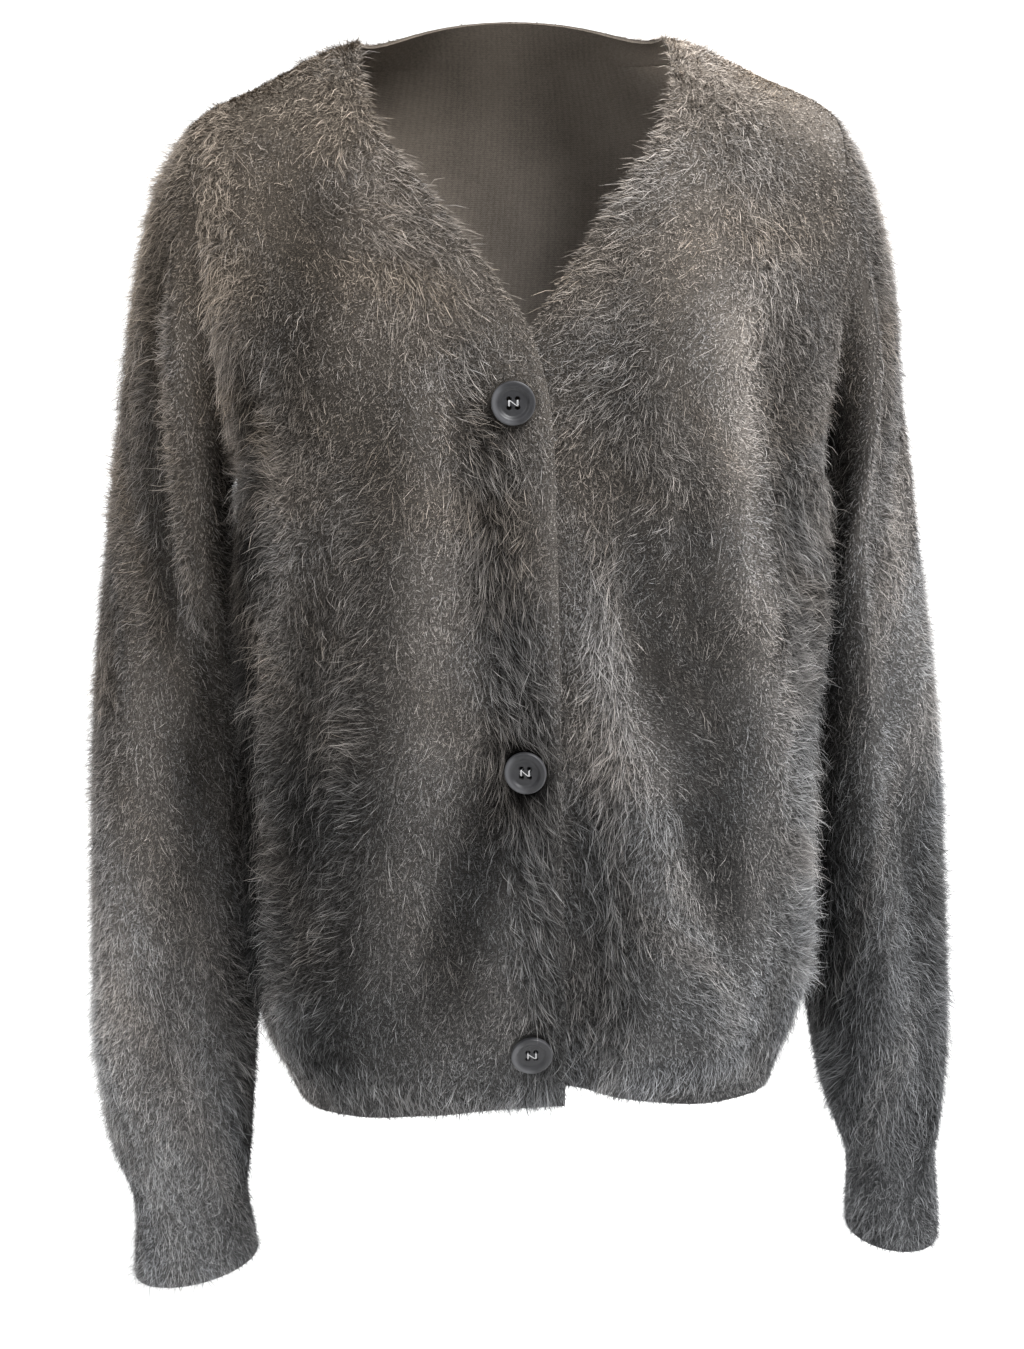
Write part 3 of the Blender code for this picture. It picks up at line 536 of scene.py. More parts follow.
def knit_wall(name, points, outward, pale, closed=False, start=0, wales=0):
    """A closed wall of knit, PILE_DEPTH under the points, and pale, the painted light and shade as lay_of
    gives it.

    The knit map holds wale_map and metres along. OFBake runs up the face, over the edge and down the
    back, with the two cut sides beside it.
    """
    face = points - outward * PILE_DEPTH
    for edge, beside in ((0, 1), (-1, -2)):
        face[edge] += unit(face[beside] - face[edge]) * SEAM / 2
        if not closed:
            face[:, edge] += unit(face[:, beside] - face[:, edge]) * SEAM / 2
    rear = face - outward * KNIT
    if closed:
        face, rear, pale = closed_grid(face, rear, pale)
    rows, columns, _ = face.shape
    loop = np.concatenate([face, rear[::-1]])
    knit = np.stack([wale_map(face, start, wales), arc_lengths(face, 0)], -1)
    knit = np.concatenate([knit, knit[::-1]])
    height = np.linalg.norm(np.diff(np.concatenate([loop, loop[:1]]), axis=0), axis=2).mean(1)
    height = np.concatenate([[0], height.cumsum()]) / height.sum()
    row, col = (index.ravel() for index in np.indices((2 * rows, columns - 1)))
    corner_row = np.stack([row, row, row + 1, row + 1], 1)
    corner_col = np.stack([col, col + 1, col + 1, col], 1)
    atlas = np.stack([0.03 + 0.94 * corner_col / (columns - 1), height[corner_row]], -1)
    if not closed:
        up = np.arange(rows - 1)
        share = np.stack([up, up, up + 1, up + 1], 1) / (rows - 1)
        for edge, low in ((0, 0.0), (columns - 1, 0.99)):
            side = np.stack([up, 2 * rows - 1 - up, 2 * rows - 2 - up, up + 1], 1)
            corner_row = np.concatenate([corner_row, side if edge == 0 else side[:, ::-1]])
            corner_col = np.concatenate([corner_col, np.full_like(side, edge)])
            strip = np.stack([low + 0.01 * np.array([0, 1, 1, 0]) * np.ones_like(share), share], -1)
            atlas = np.concatenate([atlas, strip if edge == 0 else strip[:, ::-1]])
    corner_row = corner_row % (2 * rows)
    maps = {"OFBake": atlas, "knit": knit[corner_row, corner_col]}
    step = columns - 1 if closed else columns
    verts, corners = loop[:, :step].reshape(-1, 3), corner_row * step + corner_col % step
    a, b, c, d = (verts[corners[:, number]] for number in range(4))
    # All corners are turned round where the faces point into the wall
    if ((np.cross(b - a, c - a) + np.cross(c - a, d - a)) * (a - verts.mean(0))).sum() < 0:
        corners = corners[:, ::-1]
        maps = {layer: place[:, ::-1] for layer, place in maps.items()}
    mesh = bpy.data.meshes.new(name)
    mesh.from_pydata(verts, [], corners)
    # The knit keeps its painted light and shade for each point, paler inside where no pile shades it
    keep_number(mesh, "pale", np.concatenate([pale, pale[::-1] + INSIDE])[:, :step].ravel())
    for layer, place in maps.items():
        mesh.uv_layers.new(name=layer).uv.foreach_set("vector", place.astype(np.float32).ravel())
    mesh.shade_smooth()
    mesh.set_sharp_from_angle(angle=radians(50))
    return add_object(name, mesh, knit_ground)


SHORT, LONG = 0.0034, 0.0125  # usual lengths of the strands
SHORT_WIDTH, LONG_WIDTH = 0.00045, 0.00021
# Shares of these in the flattest pile and in the longest
SHORT_RANGE, LONG_RANGE, SHORT_THINNING = (0.35, 1.7), (0.7, 1.15), (1.08, 0.72)
TUFT_CHANCE = 0.12  # how far each tuft's own chance changes its strands' length, rise and shade
TUFT = 0.0048  # long strands this near each other lean together
OVERHANG = 0.0070  # how far the pile usually hangs past a free edge
# Of long strands and of short ones: how far their tuft and chance turn them, and how far they rise, radians
TUFT_TURN, OWN_TURN, RISE = (0.28, 0.35), (0.26, 0.75), (0.26, 0.50)
SLOW_TURN, SLOWEST = 0.14, 55  # of waves through the whole pile, and the most radians a metre they have
FIRST_BEND, LAST_BEND = 0.30, -0.20  # what a strand's two halves add to its rise
MIDDLE_LEAN, TIP_LEAN = 0.04, 0.14  # how far a long strand's middle and tip go to their tuft's mean
ROOT_V, MIDDLE_V, TIP_V = 0.03, 0.5, 0.98  # along a strand in its map
MAP_WIDTH = 0.003  # half of a strand's width in the map
SMOOTHING = 0.50  # how much a strand is lit like the cloth under it
REAR_SHARE = 0.4  # of the pile's number on what faces back


def grouped(across, along):
    """Numbers from 0, the same for all strands whose two values have the same whole parts."""
    return np.unique(np.floor(across) * 8192 + np.floor(along), return_inverse=True)[1]


def grow_pile(name, points, outward, lay, seed, counts, falls=-1, start=0, wales=0, **more):
    """A piece of short strands, one triangle each, and one of long ones, three each, rooted on the stitches.

    lay is as lay_of gives it, and counts are how many of each. falls is 1 where the rows run down and -1
    where they run up. A strand's tuft and chance turn it too; near column 0 pull, a grid, turns it that
    way. A tube has wales. ends says whether the lowest row is a free edge, and clear holds balls without
    strands.
    """
    pull, ends, clear = (more.get(word, usual) for word, usual in MORE)
    chance = np.random.default_rng(seed)
    roots = points - outward * PILE_DEPTH
    if wales:
        roots, outward, *lay = closed_grid(roots, outward, *lay)
    across, along, wale = arc_lengths(roots, 1), arc_lengths(roots, 0), wale_map(roots, start, wales)
    area = cell_areas(roots) * mix(REAR_SHARE, 1, smooth_step(0.6 - outward[:-1, :-1, 1]))
    combed, fluff, pale = lay
    cells = []
    for number, weight in zip(counts, (area * (0.7 + 0.3 * fluff[:-1, :-1]), area * fluff[:-1, :-1] ** 2)):
        cells.append(chance.choice(area.size, number, p=weight.ravel() / weight.sum()))
    number = sum(counts)
    long = np.arange(number) >= counts[0]
    row, col = np.divmod(np.concatenate(cells), roots.shape[1] - 1)
    s, t = chance.random((2, number))

    def at(grid):
        """The grid's value between its points, straight in both directions."""
        near = (grid[row, col], grid[row, col + 1], grid[row + 1, col], grid[row + 1, col + 1])
        shares = ((1 - s) * (1 - t), s * (1 - t), (1 - s) * t, s * t)
        shape = (-1,) + (1,) * (grid.ndim - 2)
        return sum(value * share.reshape(shape) for value, share in zip(near, shares))

    def flat(vectors):
        """Directions in the cloth: the vectors without their share along its normal."""
        return unit(vectors - normal * (vectors * normal).sum(1, keepdims=True))

    # Roots are drawn to the nearest leg of a stitch
    leg = at(wale) / STITCH_WIDTH * 2
    to_leg = (np.floor(leg) + 0.5 - leg) * STITCH_WIDTH / 2 * 0.75
    s = np.clip(s + to_leg / np.abs(wale[row, col + 1] - wale[row, col]), 0, 1)
    root, normal, u, v, fluff = at(roots), unit(at(outward)), at(across), at(along), at(fluff)
    down = flat(falls * at(np.gradient(roots, axis=0)))
    slow = sum(
        np.sin(u * a + v * b + c)
        for a, b, c in zip(*chance.uniform(-SLOWEST, SLOWEST, (2, 6)), chance.uniform(0, 2 * pi, 6))
    )
    # Tufts are the cells of a warped chequer
    u_cell = u / TUFT + 0.6 * np.sin(v / TUFT * 0.9 + 1.3)
    v_cell = v / TUFT / 1.5 + 0.6 * np.sin(u / TUFT * 0.8)
    tuft = grouped(u_cell, v_cell)
    tufts = tuft.max() + 1
    lean = chance.normal(0, 1, (4, tufts))[:, tuft]
    turn = at(combed) + SLOW_TURN * slow + np.where(long, *TUFT_TURN) * lean[0]
    turn += np.where(long, *OWN_TURN) * chance.normal(0, 1, number)
    heading = down * np.cos(turn)[:, None] + np.cross(down, normal) * np.sin(turn)[:, None]
    if pull is not None:
        heading = heading - at(pull)[:, None] * flat(at(np.gradient(roots, axis=1)))
    heading = flat(heading)
    # Lengths, and how far the strands may hang past a free edge
    length = np.where(long, LONG * mix(*LONG_RANGE, fluff), SHORT * mix(*SHORT_RANGE, fluff))
    length *= np.exp(0.25 * chance.normal(0, 1, number) + TUFT_CHANCE * lean[1])
    spare = OVERHANG * chance.exponential(1, number) ** 1.5 + 0.001
    if ends:
        left = v if falls < 0 else at(along.max(0, keepdims=True) - along)
        length = np.minimum(length, left + spare)
    if pull is not None:
        length = np.minimum(length, np.where(at(pull) > 0.5, u + 1.6 * spare, 1))
    # Each strand is bent in its middle, and a long one leans to its tuft's mean
    lift = np.where(long, *RISE) + TUFT_CHANCE * lean[2] + chance.normal(0, 0.22, number)
    first = np.clip(lift + FIRST_BEND, 0.1, 1.3)[:, None]
    last = np.clip(lift + LAST_BEND, -0.05, 1.1)[:, None]
    half = length[:, None] / 2
    middle = root + half * (heading * np.cos(first) + normal * np.sin(first))
    tip = middle + half * (heading * np.cos(last) + normal * np.sin(last))
    members = np.maximum(np.bincount(tuft[long], minlength=tufts), 1)[:, None]
    for place, share in ((middle, MIDDLE_LEAN), (tip, TIP_LEAN)):
        centre = np.stack([np.bincount(tuft[long], place[long, axis], tufts) for axis in range(3)], 1)
        place[long] += (centre / members)[tuft[long]] * share - place[long] * share
    # Widths across the strands, rolled by chance, and directions that they're lit by
    line = unit(tip - root)
    wide = unit(np.cross(line, normal))
    roll = chance.uniform(-0.9, 0.9, number)[:, None]
    wide = wide * np.cos(roll) + np.cross(line, wide) * np.sin(roll)
    lit = unit(normal * SMOOTHING + np.cross(wide, line) * (1 - SMOOTHING))
    width = np.where(long, LONG_WIDTH, SHORT_WIDTH * mix(*SHORT_THINNING, fluff))
    wide = wide * (width * np.exp(0.2 * chance.normal(0, 1, number)))[:, None] / 2
    # Shades, by the lay's painted light and shade, the stitch and chance, and tints by place
    pale = at(pale) * np.where(long & (at(pale) < 0), 0.5, 1) + 0.25 * long
    stitch = grouped(leg, v / STITCH_HEIGHT)
    grain = chance.uniform(-0.5, 0.4, stitch.max() + 1)[stitch] * np.where(long, 0, 1 - fluff)
    own = np.where(long, 0.40 * chance.normal(0, 1, number), chance.uniform(-0.75, 0.45, number))
    shade = np.exp(pale + grain + own + TUFT_CHANCE * lean[3] * fluff)
    shade = np.clip(shade / SHADE_RANGE, 0.03, 0.97)
    patch = np.sin(u * 61 + slow) + np.sin(v * 47 - u * 23 + 2.0) + chance.normal(0, 0.6, number)
    cool = np.floor(root @ COOLER + 0.8 + 0.45 * patch).clip(0, len(TINTS) - 1)
    palette = (cool + shade) / len(TINTS)
    keep = np.ones(number, bool)
    for centre, radius in clear:
        for place in (root, middle, tip):
            keep &= np.linalg.norm(place - centre, axis=1) > radius
    base, end = [(root - wide, -1, ROOT_V), (root + wide, 1, ROOT_V)], (tip, 0, TIP_V)
    bend = [(middle + 0.85 * wide, 1, MIDDLE_V), (middle - 0.85 * wide, -1, MIDDLE_V)]
    made = []
    for kind, rings, chosen, faces in (
        ("pile", [*base, end], keep & ~long, [(0, 1, 2)]),
        ("hairs", [*base, *bend, end], keep & long, [(0, 1, 2), (0, 2, 3), (3, 2, 4)]),
    ):
        verts = np.stack([place[chosen] for place, _, _ in rings], 1)
        faces = np.array(faces)
        corners = (len(rings) * np.arange(len(verts))[:, None, None] + faces).astype(np.int32)
        map_u = palette[chosen][:, None] + MAP_WIDTH * np.array([across for _, across, _ in rings])
        map_v = np.array([along for _, _, along in rings]) * np.ones_like(map_u)
        mesh = bpy.data.meshes.new(f"{name}_{kind}")
        mesh.vertices.add(verts.size // 3)
        mesh.vertices.foreach_set("co", verts.astype(np.float32).ravel())
        mesh.loops.add(corners.size)
        mesh.loops.foreach_set("vertex_index", corners.ravel())
        mesh.polygons.add(corners.size // 3)
        mesh.polygons.foreach_set("loop_start", np.arange(0, corners.size, 3, dtype=np.int32))
        mesh.update(calc_edges=True)
        places = np.stack([map_u, map_v], -1)[:, faces].astype(np.float32)
        mesh.uv_layers.new(name="OFBake").uv.foreach_set("vector", places.ravel())
        mesh.shade_smooth()
        mesh.normals_split_custom_set_from_vertices(np.repeat(lit[chosen], len(rings), axis=0))
        made.append(add_object(mesh.name, mesh, pile))
    return made


MORE = (("pull", None), ("ends", True), ("clear", ()))  # what grow_pile may be told
# Ridges of the folds get painted light and their hollows painted shade, by the fold's height
FOLD_PAINTED_LIGHT = 80  # how much paler a metre of a fold's height makes the pile, as a natural logarithm
USUAL_LENGTH, SIDE_LENGTH = 0.22, 0.20  # the pile's where no line changes it, and what the sides add to it


def lay_of(table, points, outward, height, x=None):
    """How the pile lies at each point: its turn from straight down, its length, 0 to 1, and painted light.

    Every line of the table changes all three near itself. The painted light is a natural logarithm, and below
    nought it is painted shade. It grows with the height of the folds, as painted light on their ridges and
    painted shade in their hollows. Where the cloth turns away from the front, the pile is longer.
    """
    x = points[..., 0] if x is None else x
    near = np.array([folds([(*line[:5], 1)], x, points[..., 2]) for line in table])
    turn, longer, painted_light = (np.tensordot(table[:, number], near, 1) for number in (5, 6, 7))
    longer = USUAL_LENGTH + longer + SIDE_LENGTH * smooth_step((np.abs(outward[..., 0]) - 0.5) / 0.5)
    return turn, np.clip(longer, 0.05, 1), painted_light + FOLD_PAINTED_LIGHT * height


def sheet_of(points, strands, closed=False):
    """Works out a knitted piece's cut, as wide and long as its widest row and longest column, and its area.
    """
    grid = closed_grid(points)[0] if closed else points
    width = float(np.ptp(arc_lengths(grid, 1), axis=1).max())
    length = float(np.ptp(arc_lengths(grid, 0), axis=0).max())
    area = min(float(cell_areas(grid).sum()), width * length)
    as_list(strands)


def back_grid():
    """The back's points and outward directions, right half first, its folds' height and its rows' rise."""
    rise = row_heights()
    neck = np.linspace(0, NECK_SHARE, BACK_NECK_COLUMNS + 1)
    shoulder = np.linspace(NECK_SHARE, 1, BACK_SHOULDER_COLUMNS + 1)
    half = np.concatenate([neck, shoulder[1:]])
    share, high = np.meshgrid(half, rise)
    points = np.concatenate([back(-1, share, high)[:, :0:-1], back(1, share, high)], axis=1)
    whole = np.concatenate([share[:, :0:-1], share], axis=1)
    points, height = fold_panel(points, -normals(points), BACK_FOLDS, whole, rise)
    outward = -normals(points)
    edge = BACK_SHOULDER_COLUMNS + 1
    face_seams(outward, points, rise, -1, np.s_[:edge], 0, -1)
    face_seams(outward, points, rise, 1, np.s_[-edge:], -1, -1)
    return points, outward, height, rise


# Where the back's pile lies another way: both ends as x and z, half width, turn, how much longer, and painted
# light
BACK_LAY = table(
    np.s_[:5],
    # x, z, x, z, width, turn, longer, painted light
    (-150, -280, -150, -540, 20, -0.8, 0.5, -0.2),
    (150, -280, 150, -540, 20, 0.8, 0.5, -0.2),
    # Painted shade in the crevices between the body and the sleeves
    (-170, -270, -170, -560, 12, 0, 0, -3),
    (174, -290, 172, -560, 10, 0, 0, -1.5),
    (-104, -220, -96, -400, 12, -0.7, 0.5, 0),
    (78, -360, 70, -540, 12, 0.7, 0.5, 0),
    (-70, -50, 70, -50, 30, 0.2, 0.1, 0),
    (0, -250, 10, -420, 30, -0.3, 0.3, -0.1),
    (-110, -10, -180, -50, 20, -0.5, 0.1, 0.1),
    # Painted light on the top of the wearer's left shoulder
    (110, -10, 180, -50, 22, 0.5, 0.1, 0.9),
)
points, outward, height, rise = back_grid()
lay = lay_of(BACK_LAY, points, outward, 0.6 * height)
PANEL, HEM = np.s_[HEM_ROWS:], np.s_[: HEM_ROWS + 1]
middle = BACK_NECK_COLUMNS + BACK_SHOULDER_COLUMNS
back_knit = knit_wall("back_knit", points[PANEL], outward[PANEL], lay[2][PANEL], start=middle)
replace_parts(back_knit, "back_lower", "back_upper")
strands = grow_pile("back", points, outward, lay, 11, (112000, 11000), start=middle)

# The hem band is knitted tighter, and gathers the back in by its own width. One pile covers both.
hem_back_knit = knit_wall("hem_back_knit", points[HEM], outward[HEM], lay[2][HEM], start=middle)
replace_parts(hem_back_knit, "hem_back")
sheet_of(points[HEM], [])
sheet_of(points[PANEL], strands)

# ---- Fronts --------------------------------------------------------------------------------------------
# Two knitted fronts, each with a turned band along its free edge and its half of the hem. The wearer's
# right one laps over the left one below the V, and the pile runs on over the seams.

BAND_WALL = 0.0045
BAND_DROP = 0.0020  # a button presses the band's pile down by this
BAND_WIDTH = 0.038
LAP_ROOM = 0.0022  # between the two bands where the fronts cross
LAP_FLAT, LAP_SLOPE = 0.004, 0.026  # how far past the right one's edge the left one stays down, then rises
LEFT_LIFT, LIFT_REACH = 0.008, 0.09  # the left front's hem is drawn up beside the lap
FRONT_COLUMNS, BAND_COLUMNS = 24, 6

# Free edge from the underarm to the shoulder: each front's distance out from the middle, negative past it
NECK_EDGE = table(
    np.s_[1:],
    # rise, right, left, y, z
    (0.00, -9.5, -24.5, -142, -250),
    (0.14, -8.5, -24, -142.5, -216),
    (0.24, -4.5, -16, -141, -189),
    (0.33, 4, 0, -138, -163),
    (0.42, 18, 16.5, -131, -141),
    (0.51, 35, 34, -121.5, -117),
    (0.60, 51, 50.5, -108, -94),
    (0.69, 66.5, 66.5, -92, -73),
    (0.78, 79.5, 79, -72, -52),
    (0.86, 85.5, 85, -50, -32),
    (0.93, 87, 87, -25, -13),
    (1.00, 87, 87, 5, -2),
)
FRONT_FOLDS = table(
    np.s_[:],
    # x, z, x, z, width, height
    (-96, -262, -90, -390, 24, 6.5),
    (-94, -400, -130, -540, 20, 8.7),
    (-136, -330, -150, -500, 14, -6.5),
    (-30, -420, -74, -535, 17, -9.4),
    (-120, -110, -140, -200, 22, -5.8),
    (112, -180, 124, -320, 16, 7.2),
    (126, -330, 146, -430, 14, 8.7),
    (92, -290, 106, -470, 17, -8),
    (40, -350, 98, -535, 18, 9.4),
    (34, -440, 46, -540, 13, -8.7),
    (60, -120, 80, -230, 24, -4.3),
    (-52, -230, -50, -330, 11, -2.2),
    (-70, -300, -64, -400, 9, 2.4),
    (-108, -470, -112, -560, 7, -3),
    (-66, -470, -84, -560, 7, 2.8),
    (134, -190, 150, -330, 8, -3.4),
    (70, -240, 74, -340, 10, 2.2),
    (74, -430, 90, -545, 7, -2.8),
    (118, -440, 122, -545, 8, 3),
)


def front(side, share, rise):
    """A front with its band: share 0 at the free edge, 1 at the side and armhole; rise as for the back."""
    edge_column = 1 if side < 0 else 2
    edge = NECK_EDGE[0, edge_column]
    drop, up = np.clip(-rise, 0, None), np.clip(rise, 0, 1)
    low = torso(side * mix(np.arctan(edge / column(SECTIONS, 3, drop)), pi / 2, share), drop)
    inner = [side * column(NECK_EDGE, edge_column, up), column(NECK_EDGE, 3, up), column(NECK_EDGE, 4, up)]
    high = yoke_row(side, share, up, np.stack(inner, -1), np.arctan(edge / SECTIONS[0, 3]), pi / 2)
    top_x = mix(NECK_EDGE[-1, edge_column], SHOULDER_END, share)
    level = mix(NECK_EDGE[-1, 4], SHOULDER[-1, 1], mix(share, smooth_step(share), 0.5))
    high[..., 2] += (column(SHOULDER, 1, top_x) - level) * smooth_step(2 * up - 1)
    return np.where((rise < 0)[..., None], low, high)


def front_shares(side, rise):
    """Even columns along each row of a front: the band's, then the panel's. Each row is measured out."""
    fine = np.linspace(0, 1, 61)
    share, high = np.meshgrid(fine, rise)
    length = arc_lengths(front(side, share, high), 1)
    band = np.linspace(0, BAND_WIDTH, BAND_COLUMNS + 1)
    panels = [np.linspace(BAND_WIDTH, row[-1], FRONT_COLUMNS + 1)[1:] for row in length]
    return np.array([np.interp([*band, *panel], row, fine) for panel, row in zip(panels, length)])


def under_lap(points):
    """How far the left front sinks to pass under the right one's edge."""
    lap = -column(NECK_EDGE, 1, np.interp(points[..., 2], NECK_EDGE[:, 4], NECK_EDGE[:, 0]))
    return (BAND_WALL + LAP_ROOM) * (1 - smooth_step((points[..., 0] - lap - LAP_FLAT) / LAP_SLOPE))


def front_grid(side):
    """A front's points and outward directions, its free edge first, and its folds' height."""
    share = front_shares(side, rise)
    points = front(side, share, np.broadcast_to(rise[:, None], share.shape))
    points, height = fold_panel(points, normals(points) * side, FRONT_FOLDS, share, rise)
    outward = normals(points) * side
    face_seams(outward, points, rise, side, np.s_[:], -1, 1)
    if side > 0:
        points = points - outward * under_lap(points)[..., None]
        lift = LEFT_LIFT * (1 - smooth_step(np.abs(points[..., 0]) / LIFT_REACH))
        points[..., 2] += lift * np.clip(-rise, 0, 1)[:, None]
    return points, outward, height


# Buttons' heights are needed here, because no pile grows under them
BUTTON_HEIGHTS = (-0.205, -0.401, -0.563)
BUTTON_DIAMETER = 0.023
CLEAR = 0.0008  # between a button's rim and the nearest strands

# Where the fronts' pile lies another way: the columns are those of BACK_LAY, the last being painted light and
# shade
FRONT_LAY = table(
    np.s_[:5],
    # x, z, x, z, width, turn, longer, painted light
    (-142, -200, -152, -545, 10, 1.4, 0.2, 0.1),
    (-90, -262, -100, -390, 12, 1.2, 0.2, 0),
    (-100, -400, -124, -545, 12, 1.2, 0.2, 0),
    (-90, -90, -80, -200, 35, 0, 0, 0.25),
    (60, -345, 78, -430, 18, 0, -0.1, -0.5),
    (20, -580, 120, -580, 22, 0, 0, 0.08),
    (-26, -225, -10, -400, 15, -0.5, 0.5, -1.5),
    (-10, -400, 2, -560, 15, -0.3, 0.45, -1.25),
    (-100, -30, -70, -130, 22, 0.3, 0.2, -0.1),
    (-66, -120, -40, -170, 16, -0.5, 0.15, -0.1),
    (60, -80, 30, -200, 22, 0.5, 0.25, 0),
    (50, -200, 60, -260, 20, 0.8, 0.25, -0.1),
    (30, -300, 34, -560, 12, 0.2, 0.6, -0.1),
    (113, -180, 122, -320, 6, -1.2, 0.1, 0.3),
    (122, -320, 146, -430, 6, -1.3, 0.1, 0.3),
    (128, -200, 138, -330, 13, 0, 0, -0.75),
    (142, -330, 160, -430, 12, 0, 0, -0.8),
    (165, -320, 167, -420, 10, 0, -0.1, -1.2),
    (110, -30, 130, -150, 20, -0.4, 0.3, 0.05),
    (150, -280, 152, -540, 12, -1.2, 0.6, -0.1),
    (60, -440, 90, -545, 14, -0.6, 0.4, 0),
    (-134, -415, -126, -550, 26, 0, 0, -1.15),
    (-90, -390, -116, -505, 20, 0, 0, -0.85),
    (-90, -250, -103, -400, 27, 0, 0, -1.2),
    (-138, -310, -140, -400, 12, 0, 0, 0.35),
    (-136, -525, -130, -570, 13, 0, 0, -0.6),
    (-50, -205, -50, -320, 13, 0, 0, 0.5),
    (-30, -440, -48, -525, 15, 0, 0, -0.6),
    (-110, -580, -30, -590, 25, 0, 0, -0.1),
    (-150, -585, 0, -605, 12, -0.2, 0.4, 0),
    (0, -595, 150, -585, 12, 0.2, 0.4, 0),
    (152, -180, 156, -300, 14, 0, 0, -0.4),
    (-166, -60, -168, -250, 12, 0.4, 0.4, 0.2),
    (-170, -270, -172, -370, 10, 0.9, 0.8, 0),
    (176, -270, 174, -370, 10, -0.9, 0.6, 0),
    (24, -450, 34, -540, 14, 0, 0, -0.9),
    (84, -445, 102, -520, 18, 0, 0, -0.5),
    (46, -215, 64, -350, 18, 0, 0, -0.6),
    (108, -225, 110, -300, 12, 0, 0, 0.3),
    (-157, -200, -153, -300, 9, 0, -0.1, -1.2),
    (80, -100, 100, -170, 35, 0, 0, 0.5),
    # Painted shade in the crevices between the body and the sleeves
    (-167, -280, -169, -350, 8, 0, -0.1, -3.5),
    (-170, -360, -172, -560, 8, 0, -0.1, -3.5),
    (178, -290, 174, -560, 10, 0, 0, -1.2),
    (-110, -10, -180, -50, 20, 0.6, 0, 0),
    # Painted light on the top of the wearer's left shoulder
    (110, -10, 180, -50, 30, -0.6, -0.15, 0.85),
)
EDGE_ROLL = 0.0022  # of the free edge below the neckline, where the knit rolls over and shows
ROLL_SHORTER, ROLL_PALER = 0.7, 0.35
NECK_LONGER, NECK_REACH = 0.45, 0.008  # how much longer the pile is at the neckline, and how far in
EDGE_PULL = 0.008  # how far in the pile leans out over the free edge
fronts = {side: front_grid(side) for side in (-1, 1)}
right_points, right_outward, _ = fronts[-1]


def at_height(grid, z):
    """A grid's value in the middle of the right band at the height z."""
    middle = BAND_COLUMNS // 2
    return np.array([np.interp(z, right_points[:, middle, 2], grid[:, middle, axis]) for axis in range(3)])


button_places = [(at_height(right_points, z), unit(at_height(right_outward, z))) for z in BUTTON_HEIGHTS]
bare = [(place, BUTTON_DIAMETER / 2 + CLEAR) for place, _ in button_places]

for side, name in ((-1, "right"), (1, "left")):
    points, outward, height = fronts[side]
    from_edge, neckline = arc_lengths(points, 1), smooth_step((rise - 0.2) / 0.3)[:, None]
    turn, longer, painted_light = lay_of(FRONT_LAY, points, outward, height)
    rolled = np.exp(-((from_edge / EDGE_ROLL) ** 2)) * (1 - neckline)
    longer = longer + NECK_LONGER * np.exp(-from_edge / NECK_REACH) * neckline
    lay = (turn, np.clip(longer, 0, 1) * (1 - ROLL_SHORTER * rolled), painted_light + ROLL_PALER * rolled)
    pull = np.exp(-from_edge / EDGE_PULL) * mix(0.3, 1.4, neckline)
    counts, more = (160000, 17000), {"pull": pull, "clear": bare}
    strands = grow_pile(f"front_{name}", points, outward, lay, 20 + side, counts, start=-1, **more)
    pieces = (
        # name, rows, columns, where the wales are counted from, strands, and what it hangs from
        ("front", PANEL, np.s_[BAND_COLUMNS:], -1, strands, "sleeve"),
        ("hem_front", HEM, np.s_[BAND_COLUMNS:], -1, [], "front"),
        ("band", np.s_[:], np.s_[: BAND_COLUMNS + 1], 0, [], "front"),
    )
    for part, rows, columns, start, on_it, above in pieces:
        form, facing, pale = (grid[rows, columns] for grid in (points, outward, lay[2]))
        piece = knit_wall(f"{part}_{name}_knit", form, facing, pale, start=start)
        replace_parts(piece, f"{part}_{name}")
        sheet_of(form, on_it)

# ---- Back neck band ------------------------------------------------------------------------------------
# The band runs on round the back of the neck and joins the two front bands at the shoulders. It is the same
# knit, turned in double and linked to the neck's edge.

NECK_TOP_Z = 0.014
NECK_EDGE_DEPTH = 0.056  # of its free edge, behind the line of the shoulders
NECK_BAND_ROWS = 6


def neck_band(turn, width):
    """From the neck seam at width 0 to the free edge at width 1, which is a quarter ellipse on each side."""
    edge = [
        NECK_EDGE[-1, 1] * np.sin(turn),
        SHOULDER_Y + NECK_EDGE_DEPTH * np.cos(turn),
        mix(SHOULDER[0, 1], NECK_TOP_Z, np.cos(turn) ** 2),
    ]
    band = mix(neck_seam(turn), np.stack(edge, -1), width[..., None])
    on_shoulder = column(SHOULDER, 1, np.abs(band[..., 0])) - band[..., 2]
    band[..., 2] += on_shoulder * np.abs(np.sin(turn)) ** 6
    return band


turn = np.linspace(-pi / 2, pi / 2, 2 * BACK_NECK_COLUMNS + 1)
width = np.linspace(0, 1, NECK_BAND_ROWS + 1)
neck_points = neck_band(*np.meshgrid(turn, width))
neck_outward = -normals(neck_points)
for side, edge in ((-1, 0), (1, -1)):
    neck_outward[:, edge] = shoulder_normal(side, np.abs(neck_points[:, edge, 0]))
lay = lay_of(BACK_LAY, neck_points, neck_outward, 0)
neck_knit = knit_wall("band_neck_knit", neck_points, neck_outward, lay[2], start=BACK_NECK_COLUMNS)
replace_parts(neck_knit, "band_neck")
more = {"start": BACK_NECK_COLUMNS, "ends": False}
strands = grow_pile("band_neck", neck_points, neck_outward, lay, 41, (8000, 1000), **more)
sheet_of(neck_points, strands)

# ---- Sleeves -------------------------------------------------------------------------------------------
# Each sleeve is one tapered panel of the same knit and pile, closed to a tube, set into a dropped armhole
# and gathered to its cuff, which is a short tube of the same knit, a little tighter.

